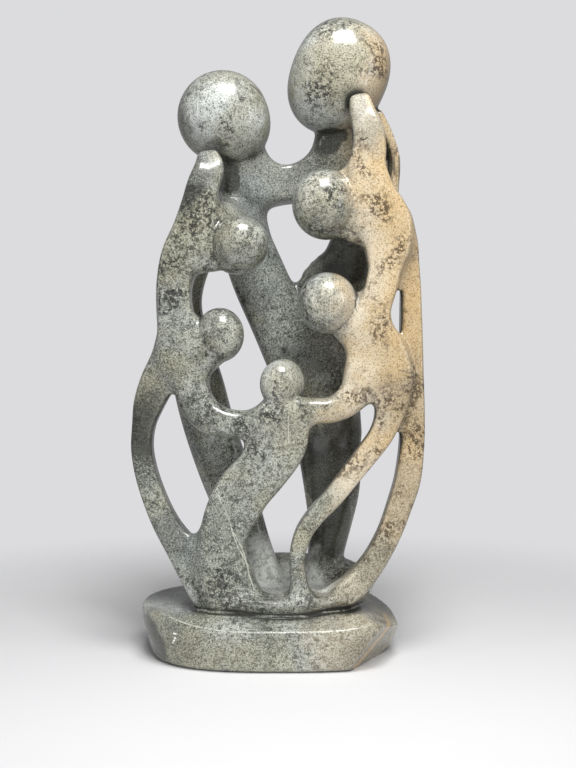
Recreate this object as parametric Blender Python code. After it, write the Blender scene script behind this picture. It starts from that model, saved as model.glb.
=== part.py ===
"""A family group carved from one block of stone.

Two tall adults lean together over a low boat-shaped base. Ribbons run from
under each chin down to the foot, and between them a ring of arms joins five
children, with the smallest in front at the bottom of the ring. Behind the
ribbons the adults' backs cross and come down as two broad legs. The stone is
cut right through between the ribbons, the backs and the legs.

The carving is described as a solid field: heads are eggs, limbs are oval
sections swept along smooth paths, and every joint has its own soft fillet.
The field's skin is then turned into faces.

X runs along the group's width, Y runs from its front to its back, Z is up.
The origin lies on the floor under the middle of the group.
"""

import bmesh
import bpy
import numpy as np

# Driving sizes, in metres.
FIGURE_HEIGHT = 0.575
FIGURE_SINK = 0.005

BASE_HEIGHT = 0.050
BASE_TOP_LENGTH = 0.249
BASE_TOP_DEPTH = 0.170
BASE_FOOT_LENGTH = 0.226
BASE_FOOT_DEPTH = 0.158
BASE_MIDDLE_X = -0.008
BASE_FOOT_ROUNDING = 0.007
BASE_FRONT_CHAMFER = 0.022
BASE_FRONT_CHAMFER_DROP = 0.012
BASE_RIGHT_CHAMFER = 0.042
BASE_RIGHT_CHAMFER_DROP = 0.020
BASE_LEFT_CHAMFER = 0.030
BASE_LEFT_CHAMFER_DROP = 0.001
BASE_ARRIS = 0.002
BASE_CORNER_CUT = 0.0775

MOTHER_HEAD_WIDTH = 0.089
MOTHER_HEAD_HEIGHT = 0.088
MOTHER_HEAD_DEPTH = 0.085
MOTHER_HEAD_LEAN = -25.0
FATHER_HEAD_WIDTH = 0.094
FATHER_HEAD_HEIGHT = 0.107
FATHER_HEAD_DEPTH = 0.092
FATHER_HEAD_LEAN = 24.0
HEAD_FULLNESS = 2.25
MOTHER_JAW = 0.0635
FATHER_JAW = 0.0690
JAW_FILLET = 0.010

UPPER_LEFT_CHILD_HEAD = 0.0518
LOWER_LEFT_CHILD_HEAD = 0.0425
SMALLEST_CHILD_HEAD = 0.0385
LOWER_RIGHT_CHILD_HEAD = 0.0525
UPPER_RIGHT_CHILD_HEAD = 0.0573

# The foot is the lowest part of a wide egg, hollowed from above.
FOOT_EGG_LENGTH = 0.200
FOOT_EGG_DEPTH = 0.160
FOOT_EGG_HEIGHT = 0.190
FOOT_LIP_FRONT = 0.011
FOOT_LIP_BACK = 0.034
FOOT_HOLLOW_LENGTH = 0.190
FOOT_HOLLOW_DEPTH = 0.150
FOOT_HOLLOW_HEIGHT = 0.120
FOOT_FLOOR = 0.006
FOOT_LIP_ROUNDING = 0.004

# Fillets: soft where limbs part, tight where a head sits on its shoulders.
LIMB_FILLET = 0.012
FOOT_FILLET = 0.026
LAYER_FILLET = 0.014
SHOULDER_FILLET = 0.030
HEAD_CREASE = 0.003
CHILD_CREASE = 0.0015
FOOT_CREASE = 0.0015

# Fineness of the faces.
GRID_STEP = 0.0048
TRIANGLES = 9600
PINCH_DEPTH = 0.0002

# The pose is written in thousandths of the figure's height, from the top of
# the base up. One station is the place (across, back, up), the half width and
# the half thickness of the limb there.
UNIT = FIGURE_HEIGHT / 1000.0
SEAT = BASE_HEIGHT - FIGURE_SINK
STEPS_BETWEEN_STATIONS = 5
RIBBON_SQUARENESS = 6.0
ARM_SQUARENESS = 2.6
BACK_SQUARENESS = 2.3
BASE_SQUARENESS_LEFT = 2.5
BASE_SQUARENESS_RIGHT = 3.6
ROUND = 2.0
HALF_SPREAD_ACROSS = 0.26
HALF_SPREAD_BACK = 0.15
BAND = 0.030
BELOW_FLOOR = 0.012
FOOT_MIDDLE = (4, -7, 109)
BASE_CORNER_FACING = (0.73, -0.43, -0.53)
MARGIN = 0.020

STONE_COLOUR = (0.22, 0.23, 0.19, 1.0)
STONE_ROUGHNESS = 0.32


class Grid:
    """The points at which the stone is tested."""

    def __init__(self, low, high, step):
        count = [int(np.ceil((top - bottom) / step)) + 1 for bottom, top in zip(low, high)]
        self.step = step
        self.low = np.array(low)
        self.shape = tuple(count)
        self.axes = [np.float32(low[i] + step * np.arange(count[i])) for i in range(3)]

    def empty(self):
        return np.full(self.shape, BAND, dtype=np.float32)

    def window(self, low, high):
        """The slices and the coordinates of the points inside a box."""
        cuts = []
        for i in range(3):
            first = int(np.floor((low[i] - self.low[i]) / self.step))
            last = int(np.ceil((high[i] - self.low[i]) / self.step)) + 1
            cuts.append(slice(max(first, 0), min(last, self.shape[i])))
        x = self.axes[0][cuts[0]][:, None, None]
        y = self.axes[1][cuts[1]][None, :, None]
        z = self.axes[2][cuts[2]][None, None, :]
        return tuple(cuts), x, y, z


def place(across, back, up):
    """A place of the figure in metres, from thousandths of its height."""
    return np.array((across * UNIT, back * UNIT, SEAT + up * UNIT))


def smooth_path(stations, steps):
    """Rows read from a Catmull-Rom curve through the stations."""
    rows = np.array(stations, dtype=float)
    padded = np.vstack((2 * rows[0] - rows[1], rows, 2 * rows[-1] - rows[-2]))
    out = []
    for i in range(1, len(padded) - 2):
        before, start, end, after = padded[i - 1:i + 3]
        for t in np.arange(steps) / steps:
            slope_start = 0.5 * (end - before)
            slope_end = 0.5 * (after - start)
            blend = t * t * (3 - 2 * t)
            out.append(start * (1 - blend) + end * blend
                       + slope_start * t * (1 - t) ** 2 - slope_end * t * t * (1 - t))
    out.append(rows[-1])
    return np.array(out)


def section_frames(points, depth_hint):
    """Directions along, across and through a limb at each of its points."""
    along = np.gradient(points, axis=0)
    along /= np.linalg.norm(along, axis=1, keepdims=True)
    hint = np.array(depth_hint, dtype=float)
    through = hint - (along @ hint)[:, None] * along
    through /= np.linalg.norm(through, axis=1, keepdims=True)
    return along, np.cross(through, along), through


def limb(grid, stations, squareness=RIBBON_SQUARENESS, depth_hint=(0.0, 1.0, 0.0)):
    """The field of an oval section swept through the stations."""
    rows = smooth_path(stations, STEPS_BETWEEN_STATIONS)
    points = np.array([place(*row[:3]) for row in rows])
    half_width = rows[:, 3] * UNIT
    half_depth = rows[:, 4] * UNIT
    along, across, through = section_frames(points, depth_hint)
    field = grid.empty()
    for i in range(len(points) - 1):
        start = points[i]
        run = points[i + 1] - start
        length_squared = float(run @ run)
        reach = max(half_width[i:i + 2].max(), half_depth[i:i + 2].max()) + BAND
        low = np.minimum(start, points[i + 1]) - reach
        high = np.maximum(start, points[i + 1]) + reach
        cuts, x, y, z = grid.window(low, high)
        dx, dy, dz = x - start[0], y - start[1], z - start[2]
        t = np.clip((dx * run[0] + dy * run[1] + dz * run[2]) / length_squared, 0.0, 1.0)
        dx = dx - t * run[0]
        dy = dy - t * run[1]
        dz = dz - t * run[2]
        turn_across = across[i + 1] - across[i]
        turn_through = through[i + 1] - through[i]
        u = dx * (across[i][0] + t * turn_across[0]) + dy * (across[i][1] + t * turn_across[1])
        u += dz * (across[i][2] + t * turn_across[2])
        v = dx * (through[i][0] + t * turn_through[0]) + dy * (through[i][1] + t * turn_through[1])
        v += dz * (through[i][2] + t * turn_through[2])
        w = dx * along[i][0] + dy * along[i][1] + dz * along[i][2]
        a = half_width[i] + t * (half_width[i + 1] - half_width[i])
        b = half_depth[i] + t * (half_depth[i + 1] - half_depth[i])
        part = oval_distance(np.abs(u), np.abs(v), w, a, b, squareness)
        np.minimum(field[cuts], part, out=field[cuts])
    return field


def oval_distance(u, v, w, a, b, power):
    """Distance, to first order, from a rounded oval of half sizes a and b."""
    ua = u / a
    vb = v / b
    tip = np.minimum(a, b)
    size = (ua ** power + vb ** power + 1e-9) ** (1.0 / power)
    slope_u = (ua / size) ** (power - 1.0) / a
    slope_v = (vb / size) ** (power - 1.0) / b
    cap = w / tip
    whole = np.sqrt(size * size + cap * cap)
    slope = np.sqrt(size * size * (slope_u ** 2 + slope_v ** 2) + (cap / tip) ** 2) / whole
    return np.float32((whole - 1.0) / np.maximum(slope, 0.5 / np.maximum(a, b)))


def egg(grid, centre, sizes, tilt=0.0, fullness=2.0):
    """The field of an egg: full sizes, a lean in degrees, and how full its cheeks are."""
    middle = place(*centre)
    half = np.array(sizes) / 2.0
    reach = half.max() + BAND
    cuts, x, y, z = grid.window(middle - reach, middle + reach)
    lean = np.radians(tilt)
    dx, dy, dz = x - middle[0], y - middle[1], z - middle[2]
    across = np.abs(dx * np.cos(lean) - dz * np.sin(lean)) / half[0]
    through = np.abs(dy) / half[1]
    upward = np.abs(dx * np.sin(lean) + dz * np.cos(lean)) / half[2]
    size = (across ** fullness + through ** fullness + upward ** fullness) ** (1.0 / fullness)
    size = np.maximum(size, 1e-6)
    slope = np.sqrt(((across / size) ** (fullness - 1.0) / half[0]) ** 2
                    + ((through / size) ** (fullness - 1.0) / half[1]) ** 2
                    + ((upward / size) ** (fullness - 1.0) / half[2]) ** 2)
    slope = np.maximum(slope, 0.5 / half.max())
    field = grid.empty()
    field[cuts] = np.minimum(np.float32((size - 1.0) / slope), BAND)
    return field


def join(first, second, fillet):
    """Both solids, with a fillet of the given width along their crease."""
    overlap = np.maximum(fillet - np.abs(first - second), 0.0) / fillet
    return np.minimum(first, second) - overlap * overlap * fillet * 0.25


def keep_common(first, second, rounding):
    """What both solids share, with its edge rounded."""
    return -join(-first, -second, rounding)


def join_all(fields, fillet):
    whole = fields[0]
    for field in fields[1:]:
        whole = join(whole, field, fillet)
    return whole


def mother_ribbon(grid):
    """From under the mother's chin over her shoulder to the hip."""
    return limb(grid, [
        (-115, -66, 741, 18, 14),
        (-113, -73, 722, 24, 18),
        (-122, -78, 693, 26, 22),
        (-129, -82, 660, 28, 24),
        (-140, -83, 619, 31, 26),
        (-158, -82, 578, 31, 26),
        (-169, -78, 534, 28, 24),
        (-168, -78, 491, 29, 24),
        (-159, -78, 448, 36, 25),
        (-154, -77, 410, 39, 25),
    ])


def mother_front_leg(grid):
    """From the mother's hip, bowed out to the left, to the foot."""
    return limb(grid, [
        (-171, -71, 426, 28, 24),
        (-194, -66, 384, 28, 24),
        (-212, -59, 344, 24, 23),
        (-222, -54, 306, 18, 22),
        (-225, -50, 265, 17, 22),
        (-215, -49, 215, 18, 22),
        (-192, -50, 156, 20, 22),
        (-161, -54, 104, 23, 24),
        (-132, -57, 57, 26, 26),
        (-107, -59, 20, 28, 26),
    ])


def ring_left_arm(grid):
    """From the mother's hip round the left of the ring to the smallest child."""
    return limb(grid, [
        (-148, -77, 426, 32, 24),
        (-141, -80, 377, 28, 24),
        (-134, -83, 348, 28, 24),
        (-114, -87, 322, 27, 24),
        (-85, -90, 312, 23, 24),
        (-51, -92, 310, 22, 24),
        (-17, -94, 318, 23, 24),
        (11, -94, 326, 24, 23),
    ], ARM_SQUARENESS)


def father_ribbon(grid):
    """From under the father's chin over the shoulder to the hip."""
    return limb(grid, [
        (131, -81, 830, 17, 13),
        (135, -85, 808, 21, 16),
        (143, -87, 780, 25, 21),
        (145, -87, 751, 27, 23),
        (142, -87, 719, 30, 24),
        (153, -87, 677, 34, 26),
        (167, -85, 640, 42, 26),
        (175, -82, 597, 37, 26),
        (170, -82, 560, 27, 26),
        (165, -83, 534, 26, 26),
        (153, -85, 490, 26, 26),
        (148, -85, 455, 40, 26),
        (157, -83, 419, 50, 26),
        (162, -82, 387, 50, 26),
    ])


def father_front_leg(grid):
    """The outer right ribbon, from the shoulder down to the front of the foot."""
    return limb(grid, [
        (190, -72, 632, 22, 24),
        (203, -66, 600, 21, 22),
        (212, -57, 571, 16, 22),
        (216, -50, 537, 16, 22),
        (217, -47, 496, 17, 22),
        (218, -43, 460, 18, 22),
        (219, -40, 397, 19, 22),
        (220, -40, 331, 20, 22),
        (219, -42, 274, 20, 22),
        (212, -45, 218, 21, 22),
        (198, -49, 174, 20, 22),
        (181, -54, 130, 19, 22),
        (159, -59, 90, 19, 22),
        (134, -68, 59, 20, 22),
        (105, -80, 36, 19, 22),
    ])


def ring_right_arm(grid):
    """From the father's hip round the right of the ring to the smallest child."""
    return limb(grid, [
        (134, -83, 384, 27, 24),
        (123, -87, 359, 26, 24),
        (105, -90, 342, 23, 24),
        (82, -92, 332, 21, 24),
        (55, -94, 331, 21, 24),
        (27, -94, 329, 22, 23),
    ], ARM_SQUARENESS)


def father_inner_leg(grid):
    """From the father's hip, slanting down to the middle of the foot's front."""
    return limb(grid, [
        (181, -80, 384, 32, 26),
        (182, -77, 351, 28, 25),
        (177, -75, 320, 22, 23),
        (164, -73, 289, 19, 22),
        (141, -73, 258, 18, 22),
        (117, -75, 228, 17, 21),
        (88, -77, 192, 16, 21),
        (62, -80, 165, 15, 21),
        (42, -83, 138, 14, 21),
        (32, -87, 111, 13, 21),
        (29, -90, 88, 12, 21),
        (31, -94, 63, 13, 21),
        (35, -97, 33, 16, 21),
    ])


def smallest_child_body(grid):
    """From the bottom of the ring, bent like an S, to the left of the foot."""
    return limb(grid, [
        (5, -94, 335, 32, 23),
        (3, -94, 303, 45, 23),
        (-5, -92, 274, 47, 23),
        (-27, -90, 236, 42, 23),
        (-53, -89, 207, 43, 23),
        (-69, -87, 181, 43, 23),
        (-82, -85, 155, 40, 23),
        (-89, -83, 125, 38, 23),
        (-89, -82, 96, 38, 24),
        (-82, -80, 66, 39, 26),
        (-70, -77, 33, 39, 26),
    ])


def shoulder_bridge(grid):
    """The arm that joins the adults' shoulders behind the ring."""
    return limb(grid, [
        (-83, 31, 721, 32, 26),
        (-38, 35, 720, 31, 26),
        (9, 38, 720, 31, 26),
        (56, 38, 728, 34, 26),
        (114, 35, 739, 42, 26),
    ])


def mother_neck(grid):
    return limb(grid, [
        (-72, 18, 800, 43, 30),
        (-66, 30, 760, 40, 28),
        (-69, 38, 711, 42, 28),
    ], ROUND)


def mother_back(grid):
    """Her back, crossing to the right and ending as the right back leg."""
    return limb(grid, [
        (-72, 38, 702, 42, 30),
        (-64, 49, 640, 44, 31),
        (-38, 56, 566, 49, 31),
        (-1, 59, 483, 50, 31),
        (36, 59, 402, 53, 31),
        (69, 59, 332, 56, 31),
        (87, 59, 261, 56, 31),
        (92, 61, 190, 49, 31),
        (89, 63, 133, 39, 31),
        (82, 63, 80, 32, 31),
        (75, 63, 31, 32, 30),
    ], BACK_SQUARENESS)


def father_neck(grid):
    return limb(grid, [
        (108, 18, 839, 46, 28),
        (116, 28, 795, 52, 27),
        (122, 36, 749, 56, 28),
    ], ROUND)


def father_back(grid):
    """His back, leaning in to meet the mother's."""
    return limb(grid, [
        (126, 38, 736, 52, 28),
        (137, 49, 658, 42, 30),
        (123, 56, 589, 48, 31),
        (94, 59, 530, 66, 31),
        (88, 59, 443, 64, 31),
        (85, 59, 360, 58, 31),
        (87, 59, 293, 53, 31),
    ], BACK_SQUARENESS)


def father_shoulder_strap(grid):
    """The strap behind his front ribbon, with a deep slot between them."""
    behind = limb(grid, [
        (155, 34, 831, 21, 21),
        (178, 52, 797, 16, 21),
        (186, 60, 756, 15, 21),
        (182, 58, 709, 17, 23),
        (172, 44, 667, 24, 24),
    ])
    edge = limb(grid, [
        (164, 12, 831, 12, 24),
        (185, 20, 797, 8, 30),
        (198, 22, 756, 7, 32),
        (194, 20, 709, 9, 32),
        (180, 14, 667, 20, 26),
    ])
    return join(behind, edge, HEAD_CREASE)


def mother_back_leg(grid):
    """From her shoulder down the left and across to the back of the foot."""
    return limb(grid, [
        (-125, 38, 651, 38, 28),
        (-150, 49, 588, 30, 28),
        (-165, 54, 522, 28, 28),
        (-162, 56, 451, 37, 29),
        (-144, 56, 377, 44, 29),
        (-126, 56, 307, 45, 29),
        (-98, 57, 222, 44, 29),
        (-70, 59, 143, 39, 29),
        (-49, 59, 84, 35, 29),
        (-31, 59, 35, 35, 29),
    ], BACK_SQUARENESS)


def mother_torso(grid):
    """The stone left solid between her front ribbon and her back."""
    return limb(grid, [
        (-104, -60, 632, 30, 38),
        (-90, -24, 636, 38, 42),
        (-76, 40, 646, 44, 42),
    ], ROUND, (0.0, 0.0, 1.0))


def father_torso(grid):
    """The stone left solid between his front ribbon and his back."""
    return limb(grid, [
        (142, -66, 646, 26, 34),
        (140, -20, 650, 26, 32),
        (136, 40, 655, 30, 34),
    ], ROUND, (0.0, 0.0, 1.0))


def upper_left_child_body(grid):
    """A short body from the mother's ribbon to the child's head."""
    return limb(grid, [
        (-136, -82, 590, 32, 20),
        (-118, -83, 590, 36, 21),
        (-94, -82, 594, 35, 22),
        (-72, -80, 600, 28, 20),
    ], ROUND, (0.0, 1.0, 0.0))


def lower_left_child_body(grid):
    return limb(grid, [
        (-142, -79, 438, 36, 21),
        (-128, -81, 436, 41, 22),
        (-112, -84, 434, 38, 22),
        (-99, -84, 436, 28, 20),
    ], ROUND, (0.0, 1.0, 0.0))


def upper_right_child_body(grid):
    return limb(grid, [
        (142, -84, 660, 52, 22),
        (128, -85, 662, 60, 23),
        (114, -86, 662, 58, 23),
        (98, -86, 656, 50, 22),
        (84, -86, 654, 40, 20),
    ], ROUND, (0.0, 1.0, 0.0))


def lower_right_child_body(grid):
    return limb(grid, [
        (146, -82, 478, 34, 21),
        (128, -84, 478, 40, 23),
        (112, -87, 480, 40, 23),
        (96, -88, 486, 30, 20),
    ], ROUND, (0.0, 1.0, 0.0))


def foot(grid):
    """The boat the legs stand in: its lip rises to the back, and its inside is dished."""
    middle = place(*FOOT_MIDDLE)
    boat = egg(grid, FOOT_MIDDLE, (FOOT_EGG_LENGTH, FOOT_EGG_DEPTH, FOOT_EGG_HEIGHT))
    rise = FOOT_LIP_BACK - FOOT_LIP_FRONT
    slant = np.hypot(rise, FOOT_EGG_DEPTH)
    cuts, x, y, z = grid.window(grid.low, grid.low + grid.step * np.array(grid.shape))
    front = middle[1] - FOOT_EGG_DEPTH / 2.0
    over_lip = (z - BASE_HEIGHT - FOOT_LIP_FRONT) * FOOT_EGG_DEPTH - (y - front) * rise
    boat = keep_common(boat, np.float32(over_lip / slant) + 0.0 * boat, FOOT_LIP_ROUNDING)
    above = (BASE_HEIGHT + FOOT_FLOOR + FOOT_HOLLOW_HEIGHT / 2.0 - SEAT) / UNIT
    hollow = egg(grid, (FOOT_MIDDLE[0], FOOT_MIDDLE[1], above),
                 (FOOT_HOLLOW_LENGTH, FOOT_HOLLOW_DEPTH, FOOT_HOLLOW_HEIGHT))
    return keep_common(boat, -hollow, FOOT_LIP_ROUNDING)


def base(grid):
    """The boat-shaped base, with its top sloped down to its front and its ends."""
    cuts, x, y, z = grid.window(grid.low, grid.low + grid.step * np.array(grid.shape))
    rise = np.clip(z / BASE_HEIGHT, 0.0, 1.0)
    flare = np.sin(rise * np.pi / 2.0)
    half_length = (BASE_FOOT_LENGTH + (BASE_TOP_LENGTH - BASE_FOOT_LENGTH) * flare) / 2.0
    half_depth = (BASE_FOOT_DEPTH + (BASE_TOP_DEPTH - BASE_FOOT_DEPTH) * flare) / 2.0
    rounded = np.sqrt(np.clip(1.0 - (1.0 - np.maximum(z, 0.0) / BASE_FOOT_ROUNDING) ** 2, 0.0, 1.0))
    tuck = np.where(z < BASE_FOOT_ROUNDING, BASE_FOOT_ROUNDING * (1.0 - rounded), 0.0)
    u = np.abs(x - BASE_MIDDLE_X)
    v = np.abs(y)
    squareness = np.where(x > BASE_MIDDLE_X, BASE_SQUARENESS_RIGHT, BASE_SQUARENESS_LEFT)
    side = oval_distance(u, v, 0.0 * z, half_length - tuck, half_depth - tuck, squareness)
    whole = keep_common(side, np.float32(z - BASE_HEIGHT) + 0.0 * side, BASE_ARRIS)
    edges = (
        (-y, BASE_TOP_DEPTH / 2.0, BASE_FRONT_CHAMFER, BASE_FRONT_CHAMFER_DROP),
        (x - BASE_MIDDLE_X, BASE_TOP_LENGTH / 2.0, BASE_RIGHT_CHAMFER, BASE_RIGHT_CHAMFER_DROP),
        (BASE_MIDDLE_X - x, BASE_TOP_LENGTH / 2.0, BASE_LEFT_CHAMFER, BASE_LEFT_CHAMFER_DROP),
    )
    for outward, edge, run, drop in edges:
        slant = np.hypot(run, drop)
        plane = ((outward - edge) * drop + (z - BASE_HEIGHT + drop) * run) / slant
        whole = keep_common(whole, np.float32(plane) + 0.0 * side, BASE_ARRIS)
    facing = np.array(BASE_CORNER_FACING) / np.linalg.norm(BASE_CORNER_FACING)
    corner = x * facing[0] + y * facing[1] + z * facing[2] - BASE_CORNER_CUT
    whole = keep_common(whole, np.float32(corner) + 0.0 * side, BASE_ARRIS)
    whole = np.maximum(whole, np.float32(-z - BELOW_FLOOR))
    return np.minimum(whole, BAND)


def adult_heads(grid):
    mother = (MOTHER_HEAD_WIDTH, MOTHER_HEAD_DEPTH, MOTHER_HEAD_HEIGHT)
    father = (FATHER_HEAD_WIDTH, FATHER_HEAD_DEPTH, FATHER_HEAD_HEIGHT)
    mother_jaw = egg(grid, (-74, 0, 809), (MOTHER_JAW, MOTHER_JAW, MOTHER_JAW))
    father_jaw = egg(grid, (79, -3, 863), (FATHER_JAW, FATHER_JAW, FATHER_JAW))
    return [
        join(egg(grid, (-96, 0, 828), mother, MOTHER_HEAD_LEAN), mother_jaw, JAW_FILLET),
        join(egg(grid, (102, -3, 897), father, FATHER_HEAD_LEAN, HEAD_FULLNESS), father_jaw,
             JAW_FILLET),
    ]


def child_heads(grid):
    """Each child's head: its place, its width and how tall it is for its width."""
    heads = []
    for centre, width, tallness in (
        ((-61, -90, 599), UPPER_LEFT_CHILD_HEAD, 1.00),
        ((-93, -90, 453), LOWER_LEFT_CHILD_HEAD, 1.15),
        ((3, -101, 374), SMALLEST_CHILD_HEAD, 1.15),
        ((78, -97, 504), LOWER_RIGHT_CHILD_HEAD, 1.03),
        ((71, -90, 663), UPPER_RIGHT_CHILD_HEAD, 1.10),
    ):
        heads.append(egg(grid, centre, (width, width, width * tallness)))
    return heads


def stone(grid):
    """The whole carving."""
    left_foot = join(mother_front_leg(grid), smallest_child_body(grid), FOOT_FILLET)
    front = join_all([
        mother_ribbon(grid),
        left_foot,
        ring_left_arm(grid),
        father_ribbon(grid),
        father_front_leg(grid),
        ring_right_arm(grid),
        father_inner_leg(grid),
        upper_left_child_body(grid),
        lower_left_child_body(grid),
        upper_right_child_body(grid),
        lower_right_child_body(grid),
    ], LIMB_FILLET)
    shoulders = join_all([
        mother_neck(grid),
        shoulder_bridge(grid),
        father_neck(grid),
    ], SHOULDER_FILLET)
    back = join_all([
        shoulders,
        mother_back(grid),
        mother_back_leg(grid),
        father_back(grid),
        father_shoulder_strap(grid),
    ], LIMB_FILLET)
    body = join(front, back, LIMB_FILLET)
    body = join(body, mother_torso(grid), LAYER_FILLET)
    body = join(body, father_torso(grid), LAYER_FILLET)
    body = join(body, foot(grid), LIMB_FILLET)
    for head in adult_heads(grid):
        body = join(body, head, HEAD_CREASE)
    for head in child_heads(grid):
        body = join(body, head, CHILD_CREASE)
    return join(body, base(grid), FOOT_CREASE)


def close_pinches(field, depth):
    """Fills the crevices too narrow for the grid, where the skin would touch itself."""
    found = True
    while found:
        found = False
        for first, second in ((0, 1), (1, 2), (0, 2)):
            square = [shifted(field, first, a, second, b) for a, b in ((0, 0), (1, 0), (1, 1), (0, 1))]
            inside = [part < 0 for part in square]
            same = (inside[0] == inside[2]) & (inside[1] == inside[3])
            pinched = same & (inside[0] != inside[1])
            if pinched.any():
                found = True
                for part in square:
                    part[pinched & (part >= 0)] = -depth
    return field


def shifted(field, first, a, second, b):
    """A view of the field moved by a step along either of two axes."""
    cut = [slice(None)] * 3
    cut[first] = slice(a, field.shape[first] - 1 + a)
    cut[second] = slice(b, field.shape[second] - 1 + b)
    return field[tuple(cut)]


def skin(field, grid):
    """The points and four-sided faces of the surface where the field is nought."""
    cells = tuple(count - 1 for count in grid.shape)
    corner_sum = np.zeros((int(np.prod(cells)), 3))
    crossings = np.zeros(int(np.prod(cells)))
    faces = []
    for axis in range(3):
        first = [slice(None)] * 3
        second = [slice(None)] * 3
        first[axis] = slice(0, -1)
        second[axis] = slice(1, None)
        start = field[tuple(first)]
        end = field[tuple(second)]
        edge = np.argwhere((start < 0) != (end < 0))
        value = start[tuple(edge.T)]
        share = value / (value - end[tuple(edge.T)])
        point = edge.astype(float)
        point[:, axis] += share
        others = [(axis + 1) % 3, (axis + 2) % 3]
        ring = []
        for back_u, back_v in ((0, 0), (1, 0), (1, 1), (0, 1)):
            cell = edge.copy()
            cell[:, others[0]] -= back_u
            cell[:, others[1]] -= back_v
            number = np.ravel_multi_index(tuple(cell.T), cells)
            ring.append(number)
            for i in range(3):
                corner_sum[:, i] += np.bincount(number, point[:, i], len(crossings))
            crossings += np.bincount(number, minlength=len(crossings))
        ring = np.stack(ring, axis=1)
        inward = value >= 0
        ring[inward] = ring[inward][:, ::-1]
        faces.append(ring)
    used = np.flatnonzero(crossings)
    renumber = np.zeros(len(crossings), dtype=int)
    renumber[used] = np.arange(len(used))
    points = grid.low + grid.step * corner_sum[used] / crossings[used][:, None]
    return points, renumber[np.vstack(faces)]


def work_grid():
    """A grid round the whole group, reaching a little below the floor."""
    top = SEAT + FIGURE_HEIGHT + MARGIN
    half_x = HALF_SPREAD_ACROSS * FIGURE_HEIGHT + MARGIN
    half_y = max(BASE_TOP_DEPTH / 2.0, HALF_SPREAD_BACK * FIGURE_HEIGHT) + MARGIN
    half_x = max(half_x, BASE_TOP_LENGTH / 2.0 + abs(BASE_MIDDLE_X) + MARGIN)
    return Grid((-half_x, -half_y, -BELOW_FLOOR - MARGIN), (half_x, half_y, top), GRID_STEP)


def stone_material():
    material = bpy.data.materials.new("stone")
    material.use_nodes = True
    shader = material.node_tree.nodes["Principled BSDF"]
    shader.inputs["Base Color"].default_value = STONE_COLOUR
    shader.inputs["Roughness"].default_value = STONE_ROUGHNESS
    shader.inputs["Metallic"].default_value = 0.0
    return material


def thinned(thing, triangles):
    """The object's mesh brought down to about the given number of triangles."""
    faces = sum(len(polygon.vertices) - 2 for polygon in thing.data.polygons)
    decimate = thing.modifiers.new("fewer_faces", "DECIMATE")
    decimate.ratio = min(1.0, triangles / faces)
    graph = bpy.context.evaluated_depsgraph_get()
    mesh = bpy.data.meshes.new_from_object(thing.evaluated_get(graph))
    thing.modifiers.remove(decimate)
    thing.data = mesh


def cut_flat(thing):
    """The stone is cut off level with the floor, which gives its flat underside."""
    shape = bmesh.new()
    shape.from_mesh(thing.data)
    everything = shape.verts[:] + shape.edges[:] + shape.faces[:]
    cut = bmesh.ops.bisect_plane(shape, geom=everything, dist=1e-6, plane_co=(0, 0, 0),
                                 plane_no=(0, 0, -1), clear_outer=True)
    rim = [item for item in cut["geom_cut"] if isinstance(item, bmesh.types.BMEdge)]
    bmesh.ops.contextual_create(shape, geom=rim)
    bmesh.ops.recalc_face_normals(shape, faces=shape.faces[:])
    shape.to_mesh(thing.data)
    shape.free()


def build():
    for thing in list(bpy.data.objects):
        bpy.data.objects.remove(thing)
    grid = work_grid()
    field = close_pinches(stone(grid), PINCH_DEPTH)
    points, faces = skin(field, grid)
    mesh = bpy.data.meshes.new("family_group")
    mesh.from_pydata(points.tolist(), [], faces.tolist())
    group = bpy.data.objects.new("family_group", mesh)
    bpy.context.scene.collection.objects.link(group)
    thinned(group, TRIANGLES)
    cut_flat(group)
    group.data.shade_smooth()
    group.data.materials.append(stone_material())


build()
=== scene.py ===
"""The family group in polished stone, on a pale floor under soft light.

The carving's skin is worked out again on a finer grid than the solid's, and
stands in for the solid. The stone is one procedural material: grey-green with
a tan rind on the right, fine flecks, dark clusters, pale veins and a waxed
polish, with painted shade in its crevices, hollows and back, and painted light
on the heads, in the foot's bowl and along the base's front arris.
"""

import math

import bmesh
import bpy
import numpy as np
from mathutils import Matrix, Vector


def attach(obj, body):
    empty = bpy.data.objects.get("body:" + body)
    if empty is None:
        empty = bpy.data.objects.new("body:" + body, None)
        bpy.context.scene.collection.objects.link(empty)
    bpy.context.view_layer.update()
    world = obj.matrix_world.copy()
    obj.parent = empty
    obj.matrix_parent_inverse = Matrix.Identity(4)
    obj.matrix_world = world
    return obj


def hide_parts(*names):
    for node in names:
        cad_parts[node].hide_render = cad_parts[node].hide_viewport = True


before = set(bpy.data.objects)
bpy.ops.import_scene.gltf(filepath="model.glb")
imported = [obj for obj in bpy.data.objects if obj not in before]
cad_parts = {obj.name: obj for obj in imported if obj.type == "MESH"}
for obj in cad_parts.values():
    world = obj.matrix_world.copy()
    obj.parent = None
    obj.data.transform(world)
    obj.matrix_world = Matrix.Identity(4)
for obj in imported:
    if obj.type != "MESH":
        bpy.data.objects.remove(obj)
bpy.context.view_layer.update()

# Sizes of the carving, in metres.
FIGURE_HEIGHT = 0.575
FIGURE_SINK = 0.005

BASE_HEIGHT = 0.05
BASE_TOP_LENGTH = 0.249
BASE_TOP_DEPTH = 0.17
BASE_FOOT_LENGTH = 0.226
BASE_FOOT_DEPTH = 0.158
BASE_MIDDLE_X = -0.008
BASE_FOOT_ROUNDING = 0.007
BASE_FRONT_CHAMFER = 0.022
BASE_FRONT_CHAMFER_DROP = 0.012
BASE_RIGHT_CHAMFER = 0.042
BASE_RIGHT_CHAMFER_DROP = 0.02
BASE_LEFT_CHAMFER = 0.03
BASE_LEFT_CHAMFER_DROP = 0.001
BASE_ARRIS = 0.002
BASE_CORNER_CUT = 0.0775

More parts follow.
